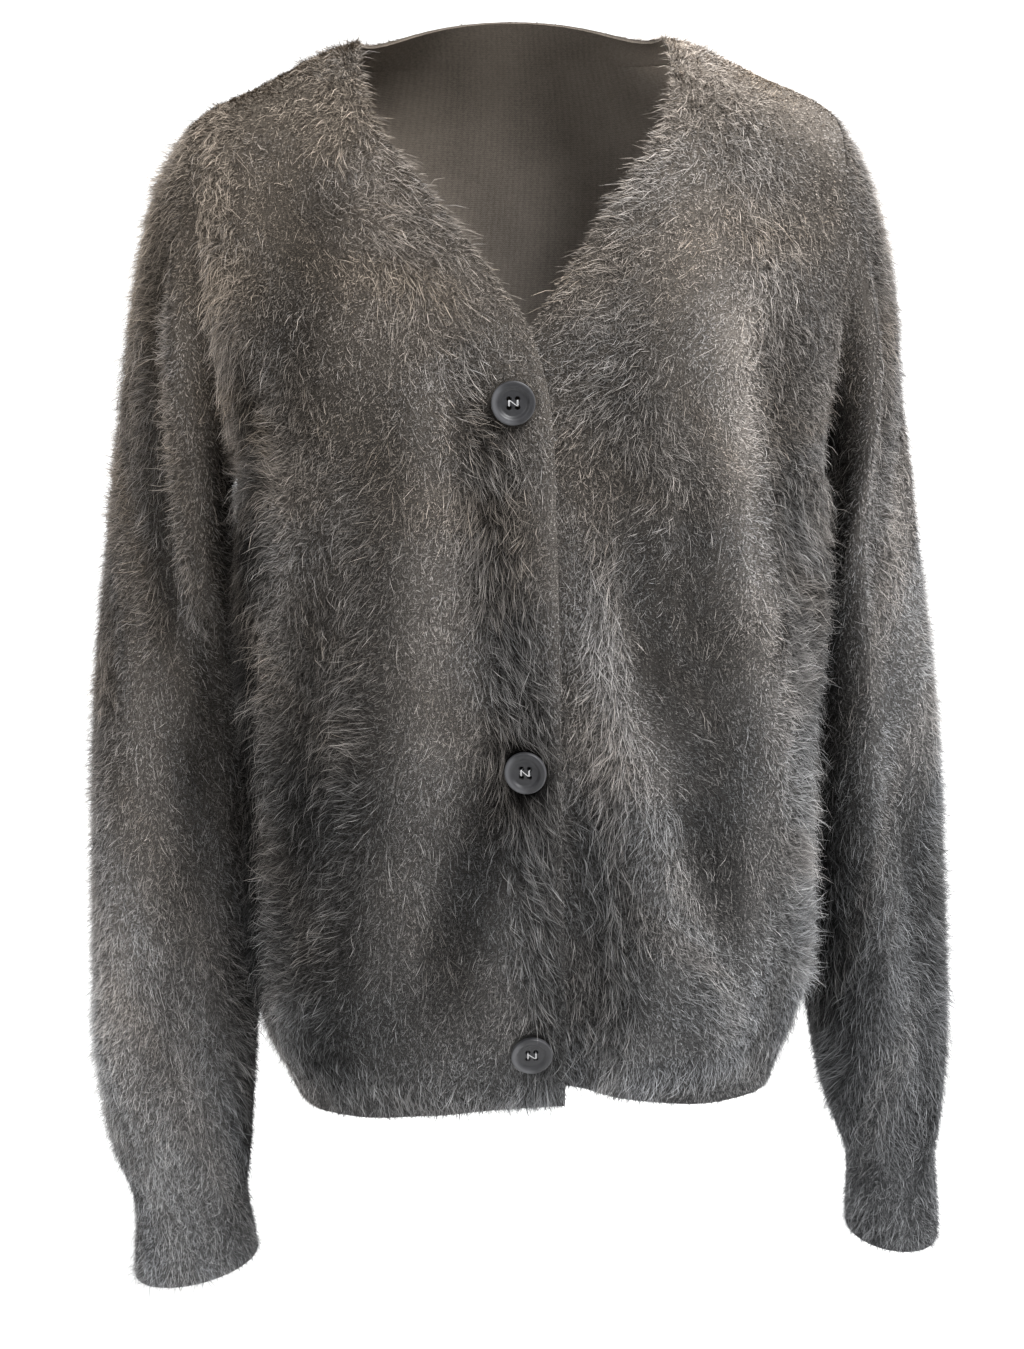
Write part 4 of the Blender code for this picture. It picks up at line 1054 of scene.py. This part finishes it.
SLEEVE_AROUND, SLEEVE_RINGS = 2 * YOKE_ROWS, 64
ROUND_IT = np.linspace(0, 2 * pi, SLEEVE_AROUND, endpoint=False)
SLEEVE_RADIUS = 0.05  # turns a fold's turn into a length round the sleeve
LAY_START = 2.3  # the lay counts turns from this far before the outer line, on the rear
SLEEVE_WALES = {-1: 217, 1: 209}
CUFF_GATHERS, CUFF_GATHER = 7, 0.0022
GATHER_STATION, GATHER_WIDTH = 13, 1.6  # where the gathers are highest, in the stations of SLEEVES
CUFF_TILT = {-1: 0.012, 1: 0.004}  # how much higher each cuff ends on the body's side
CUFF_ROWS = 9

# Rings of the sleeves: x and z of each ring's outer and inner end on the right sleeve, then on the left one,
# its middle's y, and half its depth on each
SLEEVES = table(
    np.s_[1:],
    # station, outer x, z, inner x, z, outer x, z, inner x, z, y, right depth, left depth
    (0, 184, -47, 167, -250, 184, -47, 177, -250, 5, 66, 66),
    (1, 203, -75, 170, -263, 202, -77, 181.5, -263, 8, 66, 66),
    (2, 215.5, -110, 169.5, -275, 216, -115, 182.5, -275, 14, 64, 64),
    (3, 225.5, -148, 168, -290, 225.5, -153, 181, -290, 22, 61, 61),
    (4, 234, -190, 166.5, -309, 231, -193, 178, -309, 32, 58, 58),
    (5, 243, -235, 164, -332, 235.5, -238, 174.5, -332, 41, 56, 56),
    (6, 253, -285, 162.5, -362, 243, -288, 170.5, -362, 48, 54, 54),
    (7, 262.5, -345, 162, -401, 253, -345, 167, -401, 53, 53, 53),
    (8, 269.5, -410, 162.5, -450, 262, -410, 165, -450, 55, 53, 53),
    (9, 274, -480, 164, -505, 268, -480, 166, -505, 55, 53, 53),
    (10, 277, -545, 168, -560, 271.5, -545, 171.5, -560, 54, 53, 53),
    (11, 278, -600, 173, -610, 272.5, -600, 179, -610, 51, 53, 52),
    (12, 275, -647, 178, -655, 271, -650, 186, -652, 48, 50, 48),
    (13, 267, -686, 182, -690, 267, -688, 197, -686, 45, 43, 40),
    (14, 258, -706, 185, -706, 264, -704, 205, -702, 44, 36, 32),
)

# Folds: both ends as the turn round the sleeve and the height, half width and height
SLEEVE_FOLDS = {
    -1: table(
        [1, 3, 4, 5],
        # turn, z, turn, z, width, height
        (0.75, -130, 1.45, -330, 11, -6.5),
        (1.3, -120, 1.95, -300, 14, 5),
        (0.5, -330, 1.1, -480, 16, -4.5),
        (1.1, -400, 0.8, -600, 18, 4.5),
        (1.95, -420, 1.55, -600, 14, -5),
        (4.6, -150, 4.1, -340, 14, -5.5),
        (5.3, -260, 5, -460, 18, 4.5),
        (4.3, -420, 4.8, -620, 16, -5),
        (0.85, -135, 1.55, -320, 5, -3.2),
        (1.75, -230, 2.1, -380, 7, -3),
        (1.2, -560, 1.3, -680, 7, -3),
        (0.6, -590, 0.7, -680, 8, 3),
    ),
    1: table(
        [1, 3, 4, 5],
        # turn, z, turn, z, width, height
        (0.95, -150, 1.35, -330, 12, -5.5),
        (1.45, -130, 1.9, -290, 14, 4.5),
        (0.45, -280, 0.75, -460, 16, 5.5),
        (1.25, -380, 1, -560, 15, -5.5),
        (1.7, -450, 1.45, -640, 14, 5),
        (4.5, -160, 4.2, -350, 14, -5.5),
        (5.2, -280, 5.05, -470, 18, 4.5),
        (4.4, -420, 4.75, -620, 16, -5),
        (1.05, -160, 1.42, -320, 5, -2.6),
        (1.6, -330, 1.5, -440, 8, 3),
        (1.1, -580, 1.2, -690, 7, -3),
    ),
}

# Where the sleeves' pile lies another way: both ends as the turn and z, then as on the fronts, painted light
# last
SLEEVE_LAY = {
    -1: table(
        [1, 3, 4],
        # turn, z, turn, z, width, turn, longer, painted light
        (0.2, -80, 0.4, -640, 16, 0.8, 0.7, 0),
        (0.7, -150, 1.3, -330, 7, 0.9, 0.6, -0.2),
        (1.2, -150, 1.85, -330, 7, 0.8, 0.5, 0),
        (2.6, -280, 2.6, -640, 14, -0.8, 0.4, -0.1),
        # Painted shade on the inner side, in the crevice beside the body
        (3.1, -260, 3.1, -640, 26, 0, 0, -2.8),
        (2.9, -265, 2.8, -370, 20, -0.6, 0.8, 0),
        (1.6, -600, 1.6, -760, 80, 0, 0.35, 0.5),
        (1.5, -120, 1.6, -280, 50, 0, 0, -0.15),
        (0.3, -60, 0.3, -120, 20, 0, 0.2, 0.3),
    ),
    1: table(
        [1, 3, 4],
        # turn, z, turn, z, width, turn, longer, painted light
        (0.2, -80, 0.4, -640, 14, -0.8, 0.5, -0.1),
        (0.9, -150, 1.2, -340, 9, -0.6, 0.5, 0),
        (0.6, -330, 0.8, -600, 9, -0.7, 0.5, 0),
        (2.6, -280, 2.6, -640, 14, 0.8, 0.5, -0.2),
        # Painted shade on the inner side, in the crevice beside the body
        (2.8, -240, 2.8, -400, 36, 0, 0.2, -1.6),
        (2.75, -420, 2.65, -550, 42, 0, 0.2, -1.9),
        (2.9, -265, 2.8, -370, 20, 0.6, 0.6, 0),
        (1.6, -600, 1.6, -760, 80, 0, 0.4, -0.2),
        (1.35, -280, 1.2, -620, 30, 0, 0, 0.35),
        (1.2, -280, 1.1, -420, 22, 0, 0, 0.45),
        (1.2, -200, 1.3, -420, 30, 0, 0, 0.05),
        (0.6, -480, 0.8, -660, 30, 0, 0, -0.6),
        (0.3, -60, 0.3, -120, 20, 0, 0.2, 0.3),
    ),
}

# Cuffs: how far down, then the ring's half width on the right and the left sleeve, and half its depth
CUFF = table(
    np.s_[:],
    # drop, right, left, depth
    (0, 36.5, 29.5, 33),
    (12, 38, 30.5, 35),
    (40, 41, 32, 39),
    (58, 42.5, 32, 40),
)


def sleeve(side, turn, station):
    """Rings through the stations: turn 0 at the outer line, pi/2 in front, pi beside the body."""
    columns = (1, 2, 3, 4, 9, 10) if side < 0 else (5, 6, 7, 8, 9, 11)
    return armhole(side, turn, [column(SLEEVES, n, station) for n in columns], np.exp(-station / 1.5))


def ring_normals(rings, side):
    """Outward normals of closed rings."""
    wrapped = np.concatenate([rings[:, -1:], rings, rings[:, :1]], axis=1)
    return normals(wrapped)[:, 1:-1] * side


def sleeve_grid(side):
    """A sleeve's points and outward directions, from the armhole down, and its folds' and gathers' height."""
    station = SLEEVES[-1, 0] * np.linspace(0, 1, SLEEVE_RINGS + 1)
    around, along = np.meshgrid(ROUND_IT, station)
    points = sleeve(side, around, along)
    outward = ring_normals(points, side)
    middle_z = (points.max(1, keepdims=True) + points.min(1, keepdims=True))[..., 2] / 2
    lines = SLEEVE_FOLDS[side] * (SLEEVE_RADIUS, 1, SLEEVE_RADIUS, 1, 1, 1)
    height = folds(lines, SLEEVE_RADIUS * around, mix(points[..., 2], middle_z, 0.5))
    height *= (smooth_step(station / 2) * (1 - smooth_step((station - 12) / 2)))[:, None]
    gathered = np.exp(-(((station - GATHER_STATION) / GATHER_WIDTH) ** 2))[:, None]
    height += CUFF_GATHER * gathered * np.sin(CUFF_GATHERS * around + side + 0.7 * np.sin(2 * around))
    points = points + outward * height[..., None]
    outward = ring_normals(points, side)
    outward[0] = armhole_normal(side, ROUND_IT)
    outward[-1] = unit(outward[-1] * (1, 1, 0))
    return points, outward, height


def cuff_rings(side, seam):
    """A cuff's rings below the sleeve's last one, seam: ellipses through CUFF, level again at the end."""
    middle = (seam[0] + seam[SLEEVE_AROUND // 2]) / 2
    drop = np.linspace(0, CUFF[-1, 0], CUFF_ROWS + 1)[:, None]
    half, depth = (np.interp(drop, CUFF[:, 0], CUFF[:, n]) for n in (1 if side < 0 else 2, 3))
    share = drop / CUFF[-1, 0]
    tilt = (seam[:, 2] - middle[2]) * (1 - share) + CUFF_TILT[side] * share * (1 - np.cos(ROUND_IT)) / 2
    rings = [side * half * np.cos(ROUND_IT), -depth * np.sin(ROUND_IT), tilt - drop]
    points = middle + np.stack(rings, -1)
    return points + (seam - points[0]) * (1 - share[..., None]) ** 2


for side, name in ((-1, "right"), (1, "left")):
    tube, tube_outward, height = sleeve_grid(side)
    ring = cuff_rings(side, tube[-1])
    points = eased(np.concatenate([tube, ring[1:]]), SLEEVE_RINGS)
    outward = ring_normals(points, side)
    outward[0] = tube_outward[0]
    height = np.concatenate([height, np.zeros_like(ring[1:, :, 0])])
    lines = SLEEVE_LAY[side] * (SLEEVE_RADIUS, 1, SLEEVE_RADIUS, 1, 1, 1, 1, 1)
    around = (ROUND_IT + LAY_START) % (2 * pi) - LAY_START
    lay = lay_of(lines, points, outward, height, SLEEVE_RADIUS * around * np.ones_like(height))
    wales, upper, lower = SLEEVE_WALES[side], np.s_[: SLEEVE_RINGS + 1], np.s_[SLEEVE_RINGS:]
    tube_of = {"closed": True, "wales": wales}
    piece = knit_wall(f"sleeve_{name}_knit", points[upper], outward[upper], lay[2][upper], **tube_of)
    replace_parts(piece, *(f"sleeve_{name}_{part}" for part in ("upper", "middle", "lower")))
    cuff = knit_wall(f"cuff_{name}_knit", points[lower], outward[lower], lay[2][lower], **tube_of)
    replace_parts(cuff, f"cuff_{name}")
    counts, more = (122000, 14000), {"falls": 1, "wales": wales}
    strands = grow_pile(f"sleeve_{name}", points, outward, lay, 50 + side, counts, **more)
    sheet_of(points[upper], strands, closed=True)
    sheet_of(points[lower], [], closed=True)

# ---- Buttons -------------------------------------------------------------------------------------------
# Three round four-hole buttons in slate-grey plastic, turned with a raised rim and a dished middle, each
# sewn to the band with pale thread: two upright stitches, and a slanting one between them.


def button_material():
    """Satin plastic with a faint mottle and a painted highlight on its rim, and fine turning marks that only
    the light shows.
    """
    base, finish = new_material("slate_plastic_satin", Specular_IOR_Level=0.5)
    mottle = base.here().noise(420.0, 3.0)
    # The plastic is paler where its painted highlight lies
    colour = (mottle * 0.16 + base.stored("painted_highlight")).colours((0.0195, 0.0195, 0.022), (0.127, 0.128, 0.137))
    return finish(Base_Color=colour, Roughness=mottle * 0.14 + 0.38, Normal=mottle.bump(0.12, 0.0002))


def thread_material():
    """Two-ply cotton: pale, with a slanted twist from its place, a turn each 0.6 mm."""
    base, finish = new_material("thread", Roughness=0.7)
    where = base.here()
    twist = ((where.axis(2) + where.axis(0) * 1.5) * (2 * pi / 0.0006)).maths("SINE") * 0.5 + 0.5
    return finish(Base_Color=twist.colours((0.42, 0.42, 0.43), (0.72, 0.72, 0.73)))


slate, cotton = button_material(), thread_material()
BUTTON_HEIGHT, BUTTON_LIFT = 0.0034, 0.0006
BUTTON_DISH = 0.0014
BUTTON_FACE = BUTTON_HEIGHT - BUTTON_DISH  # height of the dished middle
BACK_CORNER, RIM_CORNER = (0.0016, 0.0014), (0.0008, 0.0009)  # how wide and high they are
RIM_EDGE, RIM_BULGE = 0.0011, 0.00012  # where the rim's top starts inside the edge, and how far it bulges
DISH_EDGE, DISH_WALL = 0.0024, 0.0026  # where the dish starts inside the edge, and how wide its wall is
BUTTON_HOLE, BUTTON_HOLE_STEP = 0.0024, 0.0044
DRILL_LOW, DRILL_HIGH = -0.002, 0.006  # the cutter's ends, past the button's back and face
BUTTON_SEGMENTS, HOLE_SEGMENTS = 72, 32
HOLE_PLACES = [(x * BUTTON_HOLE_STEP / 2, y * BUTTON_HOLE_STEP / 2) for x in (-1, 1) for y in (-1, 1)]


def turned(outline, segments):
    """Corners and faces of a closed turned form: outline is radius and height, from axis to axis."""
    outline = np.array(outline)
    angle = np.linspace(0, 2 * pi, segments, endpoint=False)
    radius, height = outline[1:-1, :1], outline[1:-1, 1:]
    rings = np.stack([radius * np.cos(angle), radius * np.sin(angle), height * np.ones(segments)], -1)
    first, last = (0, 0, outline[0, 1]), (0, 0, outline[-1, 1])
    verts = np.concatenate([[first], rings.reshape(-1, 3), [last]])
    here = 1 + np.arange(len(verts) - 2).reshape(-1, segments)
    then = np.roll(here, -1, axis=1)
    walls = np.stack([here[:-1], then[:-1], then[1:], here[1:]], -1).reshape(-1, 4)
    low = np.stack([np.zeros_like(here[0]), then[0], here[0]], -1)
    high = np.stack([here[-1], then[-1], np.full_like(here[0], len(verts) - 1)], -1)
    return verts, [*low.tolist(), *walls.tolist(), *high.tolist()]


def button_outline():
    """Radius and height from the back's middle to the face's: rounded corners, a raised rim and a dish.

    Each corner is a quarter ellipse, and the dish falls away from the rim by a smooth step.
    """
    radius, high = BUTTON_DIAMETER / 2, BUTTON_HEIGHT
    bend = np.linspace(0, pi / 2, 7)
    (wide, deep), (brim, rise) = BACK_CORNER, RIM_CORNER
    low = [(radius - wide + wide * sin(b), deep - deep * cos(b)) for b in bend]
    top = [(radius - brim + brim * cos(b), high - rise + rise * sin(b)) for b in bend]
    rim = np.linspace(radius - RIM_EDGE, 0.0004, 26)
    fall = smooth_step((radius - DISH_EDGE - rim) / DISH_WALL)
    dish = [(r, high - BUTTON_DISH * f + RIM_BULGE * (1 - f)) for r, f in zip(rim, fall)]
    return [(0, 0), (0.004, 0), *low, *top, *dish, (0, BUTTON_FACE)]


def rim_painted_highlight(local):
    """Painted highlight on a button's plastic at points beside its middle, standing in for a reflection: a
    crescent on one side of the rim and a line on the other. Both are bells across the rim; round it, they
    follow the cosine from their middle.
    """
    share = np.linalg.norm(local[:, :2], axis=1) / (BUTTON_DIAMETER / 2)
    angle = np.arctan2(local[:, 1], local[:, 0])
    crescent = np.exp(-(((share - 0.88) / 0.13) ** 2)) * smooth_step(np.cos(angle - 3.5) * 1.5)
    line = np.exp(-(((share - 0.985) / 0.03) ** 2)) * smooth_step(np.cos(angle - 0.1) * 1.5)
    return 0.75 * crescent + 0.60 * line


def hole_outline():
    """A hole's cutter, flared at the face so that the hole has a rounded lip."""
    r = BUTTON_HOLE / 2
    lip = [(r, BUTTON_FACE - 0.0004), (r + 0.00035, BUTTON_FACE + 0.0001)]
    return [(0, DRILL_LOW), (r, DRILL_LOW), *lip, (r + 0.0012, DRILL_HIGH), (0, DRILL_HIGH)]


def place_mesh(name, verts, faces, axes, seat):
    """A mesh with its corners put in place by axes, the directions across, up and out, and by its seat."""
    mesh = bpy.data.meshes.new(name)
    mesh.from_pydata(np.asarray(verts) @ axes + seat, [], faces)
    mesh.update()
    return mesh


def cut_holes(name, mesh, cutters):
    """The mesh with its holes cut by an exact boolean for each cutter, applied at once."""
    made = in_scene(name, mesh)
    helpers = [in_scene("cutter", cutter) for cutter in cutters]
    for helper in helpers:
        modifier = made.modifiers.new("hole", "BOOLEAN")
        modifier.operation, modifier.solver, modifier.object = "DIFFERENCE", "EXACT", helper
    cut = bpy.data.meshes.new_from_object(made.evaluated_get(bpy.context.evaluated_depsgraph_get()))
    for item in (made, *helpers):
        bpy.data.objects.remove(item)
    cut.name = name
    cut.shade_smooth()
    cut.set_sharp_from_angle(angle=radians(38))
    return cut


THREAD, THREAD_SIDES = 0.00042, 8
THREAD_ARC, THREAD_LOW = 0.00075, -0.002  # a stitch's height over the face, and where it ends in its hole
# Stitches: the side of the upper hole, of the lower one, and how many strands
STITCHES = ((-1, -1, 2), (1, 1, 2), (-1, 1, 1))


def stitches():
    """Corners and faces of the stitches: tubes up through one hole, over the face in an arc and down."""
    s = np.linspace(0, 1, 25)
    y = (BUTTON_HOLE_STEP / 2 - 0.0008) * np.clip(np.cos(pi * s) * 1.25, -1, 1)
    arc = BUTTON_FACE + THREAD_ARC * np.sin(pi * s) ** 0.6 + 0.0001
    near_end = np.minimum(s, 1 - s)
    z = np.where(near_end < 0.1, mix(THREAD_LOW, BUTTON_FACE, near_end / 0.1), arc)
    angle = np.linspace(0, 2 * pi, THREAD_SIDES, endpoint=False)
    corner = np.arange(THREAD_SIDES)
    verts, faces = [], []
    for first, last, strands in STITCHES:
        for strand in range(strands):
            aside = (strand - (strands - 1) / 2) * THREAD * 0.9
            x = mix(first, last, (1 - np.cos(pi * s)) / 2) * BUTTON_HOLE_STEP / 2
            x = x + aside * np.sin(pi * s) + 0.4 * aside
            over = 0.0001 * (strand == 1) + 0.0003 * (first != last) * np.sin(pi * s)
            path = np.stack([x, y, z + over], -1)
            along = unit(np.gradient(path, axis=0))
            wide = unit(np.cross(along, (0, 0.02, 1)) + (1e-6, 0, 0))
            high = np.cross(wide, along)
            ring = wide[:, None] * np.cos(angle)[:, None] + high[:, None] * np.sin(angle)[:, None]
            start = sum(len(part) for part in verts)
            verts.append((path[:, None] + ring * THREAD / 2).reshape(-1, 3))
            rings = start + THREAD_SIDES * np.arange(len(s))[:, None] + corner
            beside = np.roll(rings, -1, axis=1)
            faces += np.stack([rings[:-1], beside[:-1], beside[1:], rings[1:]], -1).reshape(-1, 4).tolist()
            faces += [rings[0, ::-1].tolist(), rings[-1].tolist()]
    return np.concatenate(verts), faces


band_face = right_points[:, : BAND_COLUMNS + 1] - right_outward[:, : BAND_COLUMNS + 1] * BAND_DROP
for number, (place, toward) in enumerate(button_places, 1):
    up = unit(np.cross(toward, (1, 0, 0)))
    axes = np.array([np.cross(up, toward), up, toward])
    under = band_face[np.linalg.norm(band_face - place, axis=2) < BUTTON_DIAMETER / 2 + BAND_DROP]
    seat = place + toward * (((under - place) @ toward).max() + BUTTON_LIFT)
    name = f"button_{number}"
    blank = place_mesh(f"{name}_blank", *turned(button_outline(), BUTTON_SEGMENTS), axes, seat)
    drill, drill_faces = turned(hole_outline(), HOLE_SEGMENTS)
    drills = [place_mesh("drill", drill + (x, y, 0), drill_faces, axes, seat) for x, y in HOLE_PLACES]
    mesh = cut_holes(f"{name}_turned", blank, drills)
    spots = np.empty(3 * len(mesh.vertices), np.float32)
    mesh.vertices.foreach_get("co", spots)
    local = (spots.reshape(-1, 3).astype(float) - seat) @ axes.T
    # Each point keeps the painted highlight on the rim
    keep_number(mesh, "painted_highlight", rim_painted_highlight(local))
    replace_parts(add_object(f"{name}_turned", mesh, slate), name)
    mesh = place_mesh(f"{name}_thread", *stitches(), axes, seat)
    mesh.shade_smooth()
    add_object(f"{name}_thread", mesh, cotton)

# ---- Floor, light and camera ---------------------------------------------------------------------------
# A pale sweep of paper that curves up behind, one large soft light from the upper right in front, a weaker
# one from the left, one from behind, two that light the paper, and the camera a little above the middle.

FLOOR_Z, SWEEP_Y, SWEEP_RADIUS = -1.05, 1.9, 0.8
bend = np.linspace(0, pi / 2, 17)
sweep_y = np.concatenate([[-4.0], SWEEP_Y - SWEEP_RADIUS + SWEEP_RADIUS * np.sin(bend), [SWEEP_Y]])
sweep_z = np.concatenate([[FLOOR_Z], FLOOR_Z + SWEEP_RADIUS * (1 - np.cos(bend)), [3.0]])
sweep = np.array([[(x, y, z) for x in (-4.0, 4.0)] for y, z in zip(sweep_y, sweep_z)]).reshape(-1, 3)
rows = range(len(sweep_y) - 1)
mesh = bpy.data.meshes.new("paper_sweep")
mesh.from_pydata(sweep, [], [(2 * r, 2 * r + 1, 2 * r + 3, 2 * r + 2) for r in rows])
mesh.shade_smooth()
base, finish = new_material("paper", Roughness=0.95)
tone = base.here().noise(3.0).colours((0.86, 0.86, 0.86), (0.90, 0.90, 0.90))
mesh.materials.append(finish(Base_Color=tone))
in_scene("paper_sweep", mesh)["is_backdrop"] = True

TARGET = Vector((-0.0085, 0.0, -0.372))


def add_light(name, place, size, energy, aim):
    """A round soft light at a place, turned to what it's aimed at."""
    lamp = bpy.data.lights.new(name, "AREA")
    lamp.shape, lamp.size, lamp.energy = "DISK", size, energy
    made = in_scene(name, lamp)
    made.location = place
    made.rotation_euler = (Vector(aim) - Vector(place)).to_track_quat("-Z", "Y").to_euler()


add_light("key", (1.1, -1.5, 2.1), 1.0, 120, TARGET)
add_light("fill", (-1.8, -1.9, 0.9), 1.6, 18, TARGET)
add_light("rim", (0.2, 1.2, 1.9), 1.2, 30, TARGET)
for name, x in (("paper_right", -1.7), ("paper_left", 1.7)):
    add_light(name, (x, 0.6, 0.2), 0.8, 16, (x / 5, SWEEP_Y, -0.5))
world = bpy.data.worlds.new("studio")
world.use_nodes = True
sky = world.node_tree.nodes["Background"].inputs
sky["Color"].default_value, sky["Strength"].default_value = (1.0, 1.0, 1.0, 1), 0.20
bpy.context.scene.world = world
bpy.context.scene.view_settings.view_transform = "Standard"

AZIMUTH, ELEVATION, ROLL, DISTANCE = radians(-3.0), radians(10.0), radians(1.4), 1.2
lens = bpy.data.cameras.new("camera")
lens.sensor_fit, lens.sensor_height, lens.lens = "VERTICAL", 24.0, 35.58
lens.clip_start, lens.clip_end = 0.05, 20
out = Vector((sin(AZIMUTH) * cos(ELEVATION), -cos(AZIMUTH) * cos(ELEVATION), sin(ELEVATION)))
aside = Vector((cos(AZIMUTH), sin(AZIMUTH), 0))
above = out.cross(aside)
right = aside * cos(ROLL) - above * sin(ROLL)
above = above * cos(ROLL) + aside * sin(ROLL)
turned_to = Matrix((right, above, out)).transposed().to_4x4()
camera = in_scene("camera", lens)
camera.matrix_world = Matrix.Translation(TARGET + out * DISTANCE) @ turned_to
bpy.context.scene.camera = camera

boxes = {"cad": cad_box, "visual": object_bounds()}
{name: [[float(x) for x in corner] for corner in box] for name, box in boxes.items()}
